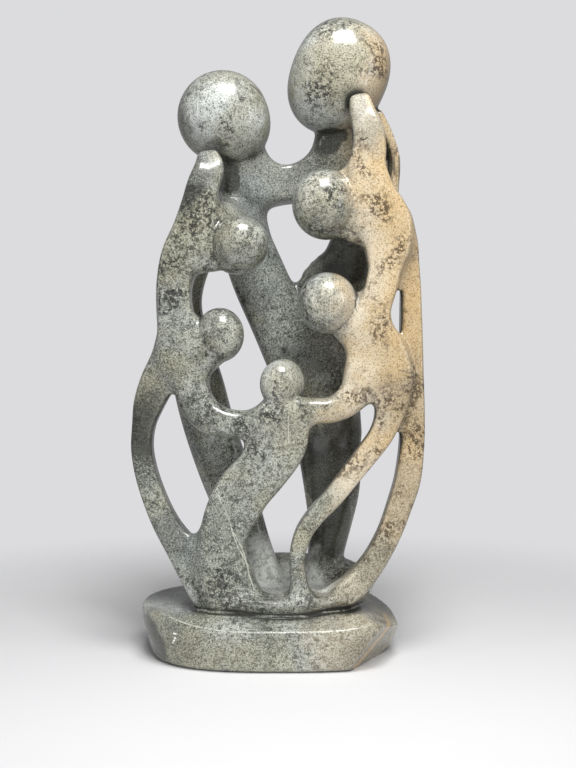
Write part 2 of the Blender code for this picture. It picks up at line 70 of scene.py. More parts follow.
MOTHER_HEAD_WIDTH = 0.089
MOTHER_HEAD_HEIGHT = 0.088
MOTHER_HEAD_DEPTH = 0.085
MOTHER_HEAD_LEAN = -25.0
FATHER_HEAD_WIDTH = 0.094
FATHER_HEAD_HEIGHT = 0.107
FATHER_HEAD_DEPTH = 0.092
FATHER_HEAD_LEAN = 24.0
HEAD_FULLNESS = 2.25
MOTHER_JAW = 0.0635
FATHER_JAW = 0.069
JAW_FILLET = 0.01

UPPER_LEFT_CHILD_HEAD = 0.0518
LOWER_LEFT_CHILD_HEAD = 0.0425
SMALLEST_CHILD_HEAD = 0.0385
LOWER_RIGHT_CHILD_HEAD = 0.0525
UPPER_RIGHT_CHILD_HEAD = 0.0573
WIDE_COLLAR = 0.003
NARROW_COLLAR = 0.0015
NARROWEST_COLLAR = 0.001

# The foot is the lowest part of a wide egg, hollowed from above.
FOOT_EGG_LENGTH = 0.2
FOOT_EGG_DEPTH = 0.16
FOOT_EGG_HEIGHT = 0.19
FOOT_LIP_FRONT = 0.011
FOOT_LIP_BACK = 0.034
FOOT_HOLLOW_LENGTH = 0.19
FOOT_HOLLOW_DEPTH = 0.15
FOOT_HOLLOW_HEIGHT = 0.12
FOOT_FLOOR = 0.006
FOOT_LIP_ROUNDING = 0.004

# Fillets: soft where limbs part, tight where a head sits on its shoulders.
LIMB_FILLET = 0.012
FOOT_FILLET = 0.026
LAYER_FILLET = 0.014
SHOULDER_FILLET = 0.03
HEAD_CREASE = 0.003
CHILD_CREASE = 0.0015
FOOT_CREASE = 0.0015
# How deep a fillet fills its crease, as a share of its width.
FILLET_DEPTH = 0.25

# Fineness of the faces.
GRID_STEP = 0.0021
PINCH_DEPTH = 0.0002
CUT_TOLERANCE = 1e-6
CORNERS = ((0, 0), (1, 0), (1, 1), (0, 1))
SETTLING_ROUNDS = 6
SETTLING_SHARE = 0.35
SETTLING_STEP = GRID_STEP / 3.0
SMALLEST_SLOPE = 0.2
SMALLEST_SIZE = 1e-6
NEARLY_NOUGHT = 1e-9
LEAST_STEEPNESS = 0.5

# How far from its skin the stone is felt for crevices, hollows and arrises.
CREVICE_REACH = 0.0045
HOLLOW_REACH = 0.013
ARRIS_REACH = 0.0045

# The pose is written in thousandths of the figure's height, from the top of
# the base up. One station is the place (across, back, up), the half width and
# the half thickness of the limb there.
UNIT = FIGURE_HEIGHT / 1000.0
SEAT = BASE_HEIGHT - FIGURE_SINK
STEPS_BETWEEN_STATIONS = 5
RIBBON_SQUARENESS = 6.0
ARM_SQUARENESS = 2.6
BACK_SQUARENESS = 2.3
BASE_SQUARENESS_LEFT = 2.5
BASE_SQUARENESS_RIGHT = 3.6
ROUND = 2.0
BACKWARD = (0.0, 1.0, 0.0)
UPWARD = (0.0, 0.0, 1.0)
HALF_SPREAD_ACROSS = 0.26
HALF_SPREAD_BACK = 0.15
BAND = 0.03
BELOW_FLOOR = 0.012
FOOT_MIDDLE = (4, -7, 109)
BASE_CORNER_FACING = (0.73, -0.43, -0.53)
MARGIN = 0.02

# From under the mother's chin over her shoulder to the hip.
MOTHER_RIBBON = (
    (-115, -66, 741, 18, 14), (-113, -73, 722, 24, 18), (-122, -78, 693, 26, 22), (-129, -82, 660, 28, 24),
    (-140, -83, 619, 31, 26), (-158, -82, 578, 31, 26), (-169, -78, 534, 28, 24), (-168, -78, 491, 29, 24),
    (-159, -78, 448, 36, 25), (-154, -77, 410, 39, 25),
)
# From the mother's hip, bowed out to the left, to the foot.
MOTHER_FRONT_LEG = (
    (-171, -71, 426, 28, 24), (-194, -66, 384, 28, 24), (-212, -59, 344, 24, 23), (-222, -54, 306, 18, 22),
    (-225, -50, 265, 17, 22), (-215, -49, 215, 18, 22), (-192, -50, 156, 20, 22), (-161, -54, 104, 23, 24),
    (-132, -57, 57, 26, 26), (-107, -59, 20, 28, 26),
)
# From the mother's hip round the left of the ring to the smallest child.
RING_LEFT_ARM = (
    (-148, -77, 426, 32, 24), (-141, -80, 377, 28, 24), (-134, -83, 348, 28, 24), (-114, -87, 322, 27, 24),
    (-85, -90, 312, 23, 24), (-51, -92, 310, 22, 24), (-17, -94, 318, 23, 24), (11, -94, 326, 24, 23),
)
# From under the father's chin over the shoulder to the hip.
FATHER_RIBBON = (
    (131, -81, 830, 17, 13), (135, -85, 808, 21, 16), (143, -87, 780, 25, 21), (145, -87, 751, 27, 23),
    (142, -87, 719, 30, 24), (153, -87, 677, 34, 26), (167, -85, 640, 42, 26), (175, -82, 597, 37, 26),
    (170, -82, 560, 27, 26), (165, -83, 534, 26, 26), (153, -85, 490, 26, 26), (148, -85, 455, 40, 26),
    (157, -83, 419, 50, 26), (162, -82, 387, 50, 26),
)
# The outer right ribbon, from the shoulder down to the front of the foot.
FATHER_FRONT_LEG = (
    (190, -72, 632, 22, 24), (203, -66, 600, 21, 22), (212, -57, 571, 16, 22), (216, -50, 537, 16, 22),
    (217, -47, 496, 17, 22), (218, -43, 460, 18, 22), (219, -40, 397, 19, 22), (220, -40, 331, 20, 22),
    (219, -42, 274, 20, 22), (212, -45, 218, 21, 22), (198, -49, 174, 20, 22), (181, -54, 130, 19, 22),
    (159, -59, 90, 19, 22), (134, -68, 59, 20, 22), (105, -80, 36, 19, 22),
)
# From the father's hip round the right of the ring to the smallest child.
RING_RIGHT_ARM = (
    (134, -83, 384, 27, 24), (123, -87, 359, 26, 24), (105, -90, 342, 23, 24), (82, -92, 332, 21, 24),
    (55, -94, 331, 21, 24), (27, -94, 329, 22, 23),
)
# From the father's hip, slanting down to the middle of the foot's front.
FATHER_INNER_LEG = (
    (181, -80, 384, 32, 26), (182, -77, 351, 28, 25), (177, -75, 320, 22, 23), (164, -73, 289, 19, 22),
    (141, -73, 258, 18, 22), (117, -75, 228, 17, 21), (88, -77, 192, 16, 21), (62, -80, 165, 15, 21),
    (42, -83, 138, 14, 21), (32, -87, 111, 13, 21), (29, -90, 88, 12, 21), (31, -94, 63, 13, 21),
    (35, -97, 33, 16, 21),
)
# From the bottom of the ring, bent like an S, to the left of the foot.
SMALLEST_CHILD_BODY = (
    (5, -94, 335, 32, 23), (3, -94, 303, 45, 23), (-5, -92, 274, 47, 23), (-27, -90, 236, 42, 23),
    (-53, -89, 207, 43, 23), (-69, -87, 181, 43, 23), (-82, -85, 155, 40, 23), (-89, -83, 125, 38, 23),
    (-89, -82, 96, 38, 24), (-82, -80, 66, 39, 26), (-70, -77, 33, 39, 26),
)
# The arm that joins the adults' shoulders behind the ring.
SHOULDER_BRIDGE = (
    (-83, 31, 721, 32, 26), (-38, 35, 720, 31, 26), (9, 38, 720, 31, 26), (56, 38, 728, 34, 26),
    (114, 35, 739, 42, 26),
)
MOTHER_NECK = (
    (-72, 18, 800, 43, 30), (-66, 30, 760, 40, 28), (-69, 38, 711, 42, 28),
)
# Her back, crossing to the right and ending as the right back leg.
MOTHER_BACK = (
    (-72, 38, 702, 42, 30), (-64, 49, 640, 44, 31), (-38, 56, 566, 49, 31), (-1, 59, 483, 50, 31),
    (36, 59, 402, 53, 31), (69, 59, 332, 56, 31), (87, 59, 261, 56, 31), (92, 61, 190, 49, 31),
    (89, 63, 133, 39, 31), (82, 63, 80, 32, 31), (75, 63, 31, 32, 30),
)
FATHER_NECK = (
    (108, 18, 839, 46, 28), (116, 28, 795, 52, 27), (122, 36, 749, 56, 28),
)
# His back, leaning in to meet the mother's.
FATHER_BACK = (
    (126, 38, 736, 52, 28), (137, 49, 658, 42, 30), (123, 56, 589, 48, 31), (94, 59, 530, 66, 31),
    (88, 59, 443, 64, 31), (85, 59, 360, 58, 31), (87, 59, 293, 53, 31),
)
# The strap behind his front ribbon, and its edge, with a deep slot between them.
STRAP_BEHIND = (
    (155, 34, 831, 21, 21), (178, 52, 797, 16, 21), (186, 60, 756, 15, 21), (182, 58, 709, 17, 23),
    (172, 44, 667, 24, 24),
)
STRAP_EDGE = (
    (164, 12, 831, 12, 24), (185, 20, 797, 8, 30), (198, 22, 756, 7, 32), (194, 20, 709, 9, 32),
    (180, 14, 667, 20, 26),
)
# From her shoulder down the left and across to the back of the foot.
MOTHER_BACK_LEG = (
    (-125, 38, 651, 38, 28), (-150, 49, 588, 30, 28), (-165, 54, 522, 28, 28), (-162, 56, 451, 37, 29),
    (-144, 56, 377, 44, 29), (-126, 56, 307, 45, 29), (-98, 57, 222, 44, 29), (-70, 59, 143, 39, 29),
    (-49, 59, 84, 35, 29), (-31, 59, 35, 35, 29),
)
# The stone left solid between each adult's front ribbon and back.
TORSOS = (
    ((-104, -60, 632, 30, 38), (-90, -24, 636, 38, 42), (-76, 40, 646, 44, 42)),
    ((142, -66, 646, 26, 34), (140, -20, 650, 26, 32), (136, 40, 655, 30, 34)),
)
# Short bodies from the ribbons to the four upper children's heads.
CHILD_BODIES = (
    ((-136, -82, 590, 32, 20), (-118, -83, 590, 36, 21), (-94, -82, 594, 35, 22), (-72, -80, 600, 28, 20)),
    ((-142, -79, 438, 36, 21), (-128, -81, 436, 41, 22), (-112, -84, 434, 38, 22), (-99, -84, 436, 28, 20)),
    ((142, -84, 660, 52, 22), (128, -85, 662, 60, 23), (114, -86, 662, 58, 23), (98, -86, 656, 50, 22),
     (84, -86, 654, 40, 20)),
    ((146, -82, 478, 34, 21), (128, -84, 478, 40, 23), (112, -87, 480, 40, 23), (96, -88, 486, 30, 20)),
)
# Each adult's head: its place, sizes, lean and fullness, then its jaw's place and width.
ADULT_HEADS = (
    ((-96, 0, 828), (MOTHER_HEAD_WIDTH, MOTHER_HEAD_DEPTH, MOTHER_HEAD_HEIGHT), MOTHER_HEAD_LEAN,
     ROUND, (-74, 0, 809), MOTHER_JAW),
    ((102, -3, 897), (FATHER_HEAD_WIDTH, FATHER_HEAD_DEPTH, FATHER_HEAD_HEIGHT), FATHER_HEAD_LEAN,
     HEAD_FULLNESS, (79, -3, 863), FATHER_JAW),
)
# Each child's head, and the low ring cut round it: the place, the width and how
# tall it is for its width.
CHILD_HEADS = (
    ((-61, -90, 599), UPPER_LEFT_CHILD_HEAD, 1.00),
    ((-93, -90, 453), LOWER_LEFT_CHILD_HEAD, 1.15),
    ((3, -101, 374), SMALLEST_CHILD_HEAD, 1.15),
    ((78, -97, 504), LOWER_RIGHT_CHILD_HEAD, 1.03),
    ((71, -90, 663), UPPER_RIGHT_CHILD_HEAD, 1.1),
)
CHILD_COLLARS = (
    ((-66, -80, 598), UPPER_LEFT_CHILD_HEAD + WIDE_COLLAR, 1.00),
    ((-96, -82, 453), LOWER_LEFT_CHILD_HEAD + NARROW_COLLAR, 1.15),
    ((8, -92, 375), SMALLEST_CHILD_HEAD + NARROWEST_COLLAR, 1.15),
    ((78, -88, 504), LOWER_RIGHT_CHILD_HEAD + WIDE_COLLAR, 1.03),
    ((76, -81, 664), UPPER_RIGHT_CHILD_HEAD + WIDE_COLLAR, 1.08),
)


class Grid:
    """The points at which the stone is tested."""

    def __init__(self, low, high, step):
        count = [int(np.ceil((top - bottom) / step)) + 1 for bottom, top in zip(low, high)]
        self.step = step
        self.low = np.array(low)
        self.shape = tuple(count)
        self.axes = [np.float32(low[i] + step * np.arange(count[i])) for i in range(3)]

    def empty(self):
        return np.full(self.shape, BAND, dtype=np.float32)

    def window(self, low, high):
        """The slices and the coordinates of the points inside a box."""
        cuts = []
        for i in range(3):
            first = int(np.floor((low[i] - self.low[i]) / self.step))
            last = int(np.ceil((high[i] - self.low[i]) / self.step)) + 1
            cuts.append(slice(max(first, 0), min(last, self.shape[i])))
        x = self.axes[0][cuts[0]][:, None, None]
        y = self.axes[1][cuts[1]][None, :, None]
        z = self.axes[2][cuts[2]][None, None, :]
        return tuple(cuts), x, y, z

    def everywhere(self):
        return self.window(self.low, self.low + self.step * np.array(self.shape))[1:]


def place(across, back, up):
    """A place of the figure in metres, from thousandths of its height."""
    return np.array((across * UNIT, back * UNIT, SEAT + up * UNIT))


def smooth_path(stations, steps):
    """Rows read from a Catmull-Rom curve through the stations."""
    rows = np.array(stations, dtype=float)
    padded = np.vstack((2 * rows[0] - rows[1], rows, 2 * rows[-1] - rows[-2]))
    out = []
    for i in range(1, len(padded) - 2):
        before, start, end, after = padded[i - 1:i + 3]
        for t in np.arange(steps) / steps:
            slope_start = 0.5 * (end - before)
            slope_end = 0.5 * (after - start)
            blend = t * t * (3 - 2 * t)
            out.append(start * (1 - blend) + end * blend
                       + slope_start * t * (1 - t) ** 2 - slope_end * t * t * (1 - t))
    out.append(rows[-1])
    return np.array(out)


def section_frames(points, depth_hint):
    """Directions along, across and through a limb at each of its points."""
    along = np.gradient(points, axis=0)
    along /= np.linalg.norm(along, axis=1, keepdims=True)
    hint = np.array(depth_hint, dtype=float)
    through = hint - (along @ hint)[:, None] * along
    through /= np.linalg.norm(through, axis=1, keepdims=True)
    return along, np.cross(through, along), through


def limb(grid, stations, squareness=RIBBON_SQUARENESS, depth_hint=BACKWARD):
    """The field of an oval section swept through the stations."""
    rows = smooth_path(stations, STEPS_BETWEEN_STATIONS)
    points = np.array([place(*row[:3]) for row in rows])
    half_width = rows[:, 3] * UNIT
    half_depth = rows[:, 4] * UNIT
    along, across, through = section_frames(points, depth_hint)
    field = grid.empty()
    for i in range(len(points) - 1):
        start = points[i]
        run = points[i + 1] - start
        length_squared = float(run @ run)
        reach = max(half_width[i:i + 2].max(), half_depth[i:i + 2].max()) + BAND
        low = np.minimum(start, points[i + 1]) - reach
        high = np.maximum(start, points[i + 1]) + reach
        cuts, x, y, z = grid.window(low, high)
        gap = [axis - origin for axis, origin in zip((x, y, z), start)]
        t = np.clip(sum(g * r for g, r in zip(gap, run)) / length_squared, 0.0, 1.0)
        gap = [g - t * r for g, r in zip(gap, run)]
        u = sum(g * (c + t * turn) for g, c, turn in zip(gap, across[i], across[i + 1] - across[i]))
        v = sum(g * (c + t * turn) for g, c, turn in zip(gap, through[i], through[i + 1] - through[i]))
        w = sum(g * c for g, c in zip(gap, along[i]))
        a = half_width[i] + t * (half_width[i + 1] - half_width[i])
        b = half_depth[i] + t * (half_depth[i + 1] - half_depth[i])
        part = oval_distance(np.abs(u), np.abs(v), w, a, b, squareness)
        np.minimum(field[cuts], part, out=field[cuts])
    return field


def oval_distance(u, v, w, a, b, power):
    """Distance, to first order, from a rounded oval of half sizes a and b."""
    ua = u / a
    vb = v / b
    tip = np.minimum(a, b)
    size = (ua ** power + vb ** power + NEARLY_NOUGHT) ** (1.0 / power)
    slope_u = (ua / size) ** (power - 1.0) / a
    slope_v = (vb / size) ** (power - 1.0) / b
    cap = w / tip
    whole = np.sqrt(size * size + cap * cap)
    slope = np.sqrt(size * size * (slope_u ** 2 + slope_v ** 2) + (cap / tip) ** 2) / whole
    return np.float32((whole - 1.0) / np.maximum(slope, LEAST_STEEPNESS / np.maximum(a, b)))


def egg(grid, centre, sizes, tilt=0.0, fullness=ROUND):
    """The field of an egg: full sizes, a lean in degrees, and how full its cheeks are."""
    middle = place(*centre)
    half = np.array(sizes) / 2.0
    reach = half.max() + BAND
    cuts, x, y, z = grid.window(middle - reach, middle + reach)
    lean = np.radians(tilt)
    dx, dy, dz = x - middle[0], y - middle[1], z - middle[2]
    turned = (dx * np.cos(lean) - dz * np.sin(lean), dy, dx * np.sin(lean) + dz * np.cos(lean))
    shares = [np.abs(part) / radius for part, radius in zip(turned, half)]
    size = sum(share ** fullness for share in shares) ** (1.0 / fullness)
    size = np.maximum(size, SMALLEST_SIZE)
    slope = np.sqrt(sum(((share / size) ** (fullness - 1.0) / radius) ** 2
                        for share, radius in zip(shares, half)))
    slope = np.maximum(slope, LEAST_STEEPNESS / half.max())
    field = grid.empty()
    field[cuts] = np.minimum(np.float32((size - 1.0) / slope), BAND)
    return field


def join(first, second, fillet):
    """Both solids, with a fillet of the given width along their crease."""
    overlap = np.maximum(fillet - np.abs(first - second), 0.0) / fillet
    return np.minimum(first, second) - overlap * overlap * fillet * FILLET_DEPTH


def keep_common(first, second, rounding):
    """What both solids share, with its edge rounded."""
    return -join(-first, -second, rounding)


def join_all(fields, fillet):
    whole = fields[0]
    for field in fields[1:]:
        whole = join(whole, field, fillet)
    return whole


def foot(grid):
    """The boat the legs stand in: its lip rises to the back, and its inside is dished."""
    middle = place(*FOOT_MIDDLE)
    boat = egg(grid, FOOT_MIDDLE, (FOOT_EGG_LENGTH, FOOT_EGG_DEPTH, FOOT_EGG_HEIGHT))
    rise = FOOT_LIP_BACK - FOOT_LIP_FRONT
    slant = np.hypot(rise, FOOT_EGG_DEPTH)
    x, y, z = grid.everywhere()
    front = middle[1] - FOOT_EGG_DEPTH / 2.0
    over_lip = (z - BASE_HEIGHT - FOOT_LIP_FRONT) * FOOT_EGG_DEPTH - (y - front) * rise
    boat = keep_common(boat, np.float32(over_lip / slant), FOOT_LIP_ROUNDING)
    above = (BASE_HEIGHT + FOOT_FLOOR + FOOT_HOLLOW_HEIGHT / 2.0 - SEAT) / UNIT
    hollow = egg(grid, (FOOT_MIDDLE[0], FOOT_MIDDLE[1], above),
                 (FOOT_HOLLOW_LENGTH, FOOT_HOLLOW_DEPTH, FOOT_HOLLOW_HEIGHT))
    return keep_common(boat, -hollow, FOOT_LIP_ROUNDING)


def base(grid):
    """The boat-shaped base, with its top sloped down to its front and its ends."""
    x, y, z = grid.everywhere()
    rise = np.clip(z / BASE_HEIGHT, 0.0, 1.0)
    flare = np.sin(rise * np.pi / 2.0)
    half_length = (BASE_FOOT_LENGTH + (BASE_TOP_LENGTH - BASE_FOOT_LENGTH) * flare) / 2.0
    half_depth = (BASE_FOOT_DEPTH + (BASE_TOP_DEPTH - BASE_FOOT_DEPTH) * flare) / 2.0
    rounded = np.sqrt(np.clip(1.0 - (1.0 - np.maximum(z, 0.0) / BASE_FOOT_ROUNDING) ** 2, 0.0, 1.0))
    tuck = np.where(z < BASE_FOOT_ROUNDING, BASE_FOOT_ROUNDING * (1.0 - rounded), 0.0)
    u = np.abs(x - BASE_MIDDLE_X)
    v = np.abs(y)
    squareness = np.where(x > BASE_MIDDLE_X, BASE_SQUARENESS_RIGHT, BASE_SQUARENESS_LEFT)
    side = oval_distance(u, v, 0.0 * z, half_length - tuck, half_depth - tuck, squareness)
    whole = keep_common(side, np.float32(z - BASE_HEIGHT), BASE_ARRIS)
    edges = (
        (-y, BASE_TOP_DEPTH / 2.0, BASE_FRONT_CHAMFER, BASE_FRONT_CHAMFER_DROP),
        (x - BASE_MIDDLE_X, BASE_TOP_LENGTH / 2.0, BASE_RIGHT_CHAMFER, BASE_RIGHT_CHAMFER_DROP),
        (BASE_MIDDLE_X - x, BASE_TOP_LENGTH / 2.0, BASE_LEFT_CHAMFER, BASE_LEFT_CHAMFER_DROP),
    )
    for outward, edge, run, drop in edges:
        slant = np.hypot(run, drop)
        plane = ((outward - edge) * drop + (z - BASE_HEIGHT + drop) * run) / slant
        whole = keep_common(whole, np.float32(plane), BASE_ARRIS)
    facing = np.array(BASE_CORNER_FACING) / np.linalg.norm(BASE_CORNER_FACING)
    corner = x * facing[0] + y * facing[1] + z * facing[2] - BASE_CORNER_CUT
    whole = keep_common(whole, np.float32(corner), BASE_ARRIS)
    whole = np.maximum(whole, np.float32(-z - BELOW_FLOOR))
    return np.minimum(whole, BAND)


def stone(grid):
    """The whole carving."""
    left_foot = join(limb(grid, MOTHER_FRONT_LEG), limb(grid, SMALLEST_CHILD_BODY), FOOT_FILLET)
    front = join_all([
        limb(grid, MOTHER_RIBBON),
        left_foot,
        limb(grid, RING_LEFT_ARM, ARM_SQUARENESS),
        limb(grid, FATHER_RIBBON),
        limb(grid, FATHER_FRONT_LEG),
        limb(grid, RING_RIGHT_ARM, ARM_SQUARENESS),
        limb(grid, FATHER_INNER_LEG),
    ] + [limb(grid, body, ROUND) for body in CHILD_BODIES], LIMB_FILLET)
    shoulders = join_all([
        limb(grid, MOTHER_NECK, ROUND),
        limb(grid, SHOULDER_BRIDGE),
        limb(grid, FATHER_NECK, ROUND),
    ], SHOULDER_FILLET)
    back = join_all([
        shoulders,
        limb(grid, MOTHER_BACK, BACK_SQUARENESS),
        limb(grid, MOTHER_BACK_LEG, BACK_SQUARENESS),
        limb(grid, FATHER_BACK, BACK_SQUARENESS),
        join(limb(grid, STRAP_BEHIND), limb(grid, STRAP_EDGE), HEAD_CREASE),
    ], LIMB_FILLET)
    body = join(front, back, LIMB_FILLET)
    for torso in TORSOS:
        body = join(body, limb(grid, torso, ROUND, UPWARD), LAYER_FILLET)
    body = join(body, foot(grid), LIMB_FILLET)
    for middle, sizes, lean, fullness, jaw_middle, jaw in ADULT_HEADS:
        jaw = egg(grid, jaw_middle, (jaw, jaw, jaw))
        body = join(body, join(egg(grid, middle, sizes, lean, fullness), jaw, JAW_FILLET), HEAD_CREASE)
    for centre, width, tallness in CHILD_COLLARS + CHILD_HEADS:
        body = join(body, egg(grid, centre, (width, width, width * tallness)), CHILD_CREASE)
    return join(body, base(grid), FOOT_CREASE)


def close_pinches(field, depth):
    """Fills the crevices too narrow for the grid, where the skin would touch itself."""
    found = True
    while found:
        found = False
        for first, second in ((0, 1), (1, 2), (0, 2)):
            square = [shifted(field, {first: a, second: b}) for a, b in CORNERS]
            inside = [part < 0 for part in square]
            same = (inside[0] == inside[2]) & (inside[1] == inside[3])
            pinched = same & (inside[0] != inside[1])
            if pinched.any():
                found = True
                for part in square:
                    part[pinched & (part >= 0)] = -depth
    return field


def shifted(field, steps):
    """A view of the field, one shorter and moved by a step along some axes."""
    cut = [slice(None)] * 3
    for axis, step in steps.items():
        cut[axis] = slice(step, field.shape[axis] - 1 + step)
    return field[tuple(cut)]


def skin(field, grid):
    """The points and four-sided faces of the surface where the field is nought."""
    cells = tuple(count - 1 for count in grid.shape)
    corner_sum = np.zeros((int(np.prod(cells)), 3))
    crossings = np.zeros(int(np.prod(cells)))
    faces = []
    for axis in range(3):
        start = shifted(field, {axis: 0})
        end = shifted(field, {axis: 1})
        edge = np.argwhere((start < 0) != (end < 0))
        value = start[tuple(edge.T)]
        share = value / (value - end[tuple(edge.T)])
        point = edge.astype(float)
        point[:, axis] += share
        others = [(axis + 1) % 3, (axis + 2) % 3]
        ring = []
        for back_u, back_v in CORNERS:
            cell = edge.copy()
            cell[:, others[0]] -= back_u
            cell[:, others[1]] -= back_v
            number = np.ravel_multi_index(tuple(cell.T), cells)
            ring.append(number)
            for i in range(3):
                corner_sum[:, i] += np.bincount(number, point[:, i], len(crossings))
            crossings += np.bincount(number, minlength=len(crossings))
        ring = np.stack(ring, axis=1)
        inward = value >= 0
        ring[inward] = ring[inward][:, ::-1]
        faces.append(ring)
    used = np.flatnonzero(crossings)
    renumber = np.zeros(len(crossings), dtype=int)
    renumber[used] = np.arange(len(used))
    points = grid.low + grid.step * corner_sum[used] / crossings[used][:, None]
    return points, renumber[np.vstack(faces)]


def work_grid():
    """A grid round the whole group, reaching a little below the floor."""
    top = SEAT + FIGURE_HEIGHT + MARGIN
    half_x = HALF_SPREAD_ACROSS * FIGURE_HEIGHT + MARGIN
    half_y = max(BASE_TOP_DEPTH / 2.0, HALF_SPREAD_BACK * FIGURE_HEIGHT) + MARGIN
    half_x = max(half_x, BASE_TOP_LENGTH / 2.0 + abs(BASE_MIDDLE_X) + MARGIN)
    return Grid((-half_x, -half_y, -BELOW_FLOOR - MARGIN), (half_x, half_y, top), GRID_STEP)


def field_at(field, grid, points):
    """The field and its slope at any points, read between the grid's points."""
    place_in_grid = (points - grid.low) / grid.step
    cell = np.clip(np.floor(place_in_grid).astype(int), 0, np.array(grid.shape) - 2)
    t = place_in_grid - cell
    value = np.zeros(len(points))
    slope = np.zeros((len(points), 3))
    for corner in np.ndindex(2, 2, 2):
        weights = np.where(np.array(corner), t, 1.0 - t)
        here = field[tuple((cell + corner).T)]
        value += here * weights.prod(axis=1)
        for axis in range(3):
            sign = 1.0 if corner[axis] else -1.0
            slope[:, axis] += sign * here * np.delete(weights, axis, 1).prod(axis=1) / grid.step
    return value, slope


def way_out(points, field, grid):
    """The field at each point, its steepness, and the direction out of the stone."""
    value, slope = field_at(field, grid, points)
    steepness = np.maximum(np.linalg.norm(slope, axis=1), SMALLEST_SLOPE)
    return value, steepness, slope / steepness[:, None]


def settled(points, faces, field, grid):
    """The points moved onto the surface, with their spacing evened along it."""
    edges = np.vstack([faces[:, [i, (i + 1) % 4]] for i in range(4)])
    count = np.bincount(edges.ravel(), minlength=len(points)).astype(float)
    for _ in range(SETTLING_ROUNDS):
        middle = np.zeros_like(points)
        for axis in range(3):
            for here, there in ((0, 1), (1, 0)):
                middle[:, axis] += np.bincount(edges[:, here], points[edges[:, there], axis], len(points))
        middle /= count[:, None]
        value, steepness, outward = way_out(points, field, grid)
        move = (middle - points) * SETTLING_SHARE
        move -= (move * outward).sum(axis=1)[:, None] * outward
        step = np.clip(value / steepness, -SETTLING_STEP, SETTLING_STEP)
        points = points + move - outward * step[:, None]
    return points


def closeness(points, field, grid, reach):
    """How far the stone closes in over each point: 0 on flat or round stone, 1 in a crevice.

    A reach below nought looks into the stone instead, and finds the arrises.
    """
    _, steepness, outward = way_out(points, field, grid)
    there, _ = field_at(field, grid, points + outward * reach)
    return np.clip(1.0 - there / (reach * steepness), 0.0, 1.0)


def cut_flat(thing):
    """The stone is cut off level with the floor."""
    shape = bmesh.new()
    shape.from_mesh(thing.data)
    everything = shape.verts[:] + shape.edges[:] + shape.faces[:]
    cut = bmesh.ops.bisect_plane(shape, geom=everything, dist=CUT_TOLERANCE, plane_co=(0, 0, 0),
                                 plane_no=(0, 0, -1), clear_outer=True)
    rim = [item for item in cut["geom_cut"] if isinstance(item, bmesh.types.BMEdge)]
    bmesh.ops.contextual_create(shape, geom=rim)
    bmesh.ops.recalc_face_normals(shape, faces=shape.faces[:])
    shape.to_mesh(thing.data)
    shape.free()


# Sockets by their number, where a name alone doesn't tell them apart.
OBJECT_PLACE = 3
VECTOR_VALUE = 1
NOISE_COLOUR = 1
ATTRIBUTE_VALUE = 2
MIX_FIRST = 6
MIX_SECOND = 7
MIX_COLOUR = 2

MILLIMETRE = 0.001
ORIGIN = (0.0, 0.0, 0.0)
# The value that a noise has on average.
NOISE_MIDDLE = 0.5


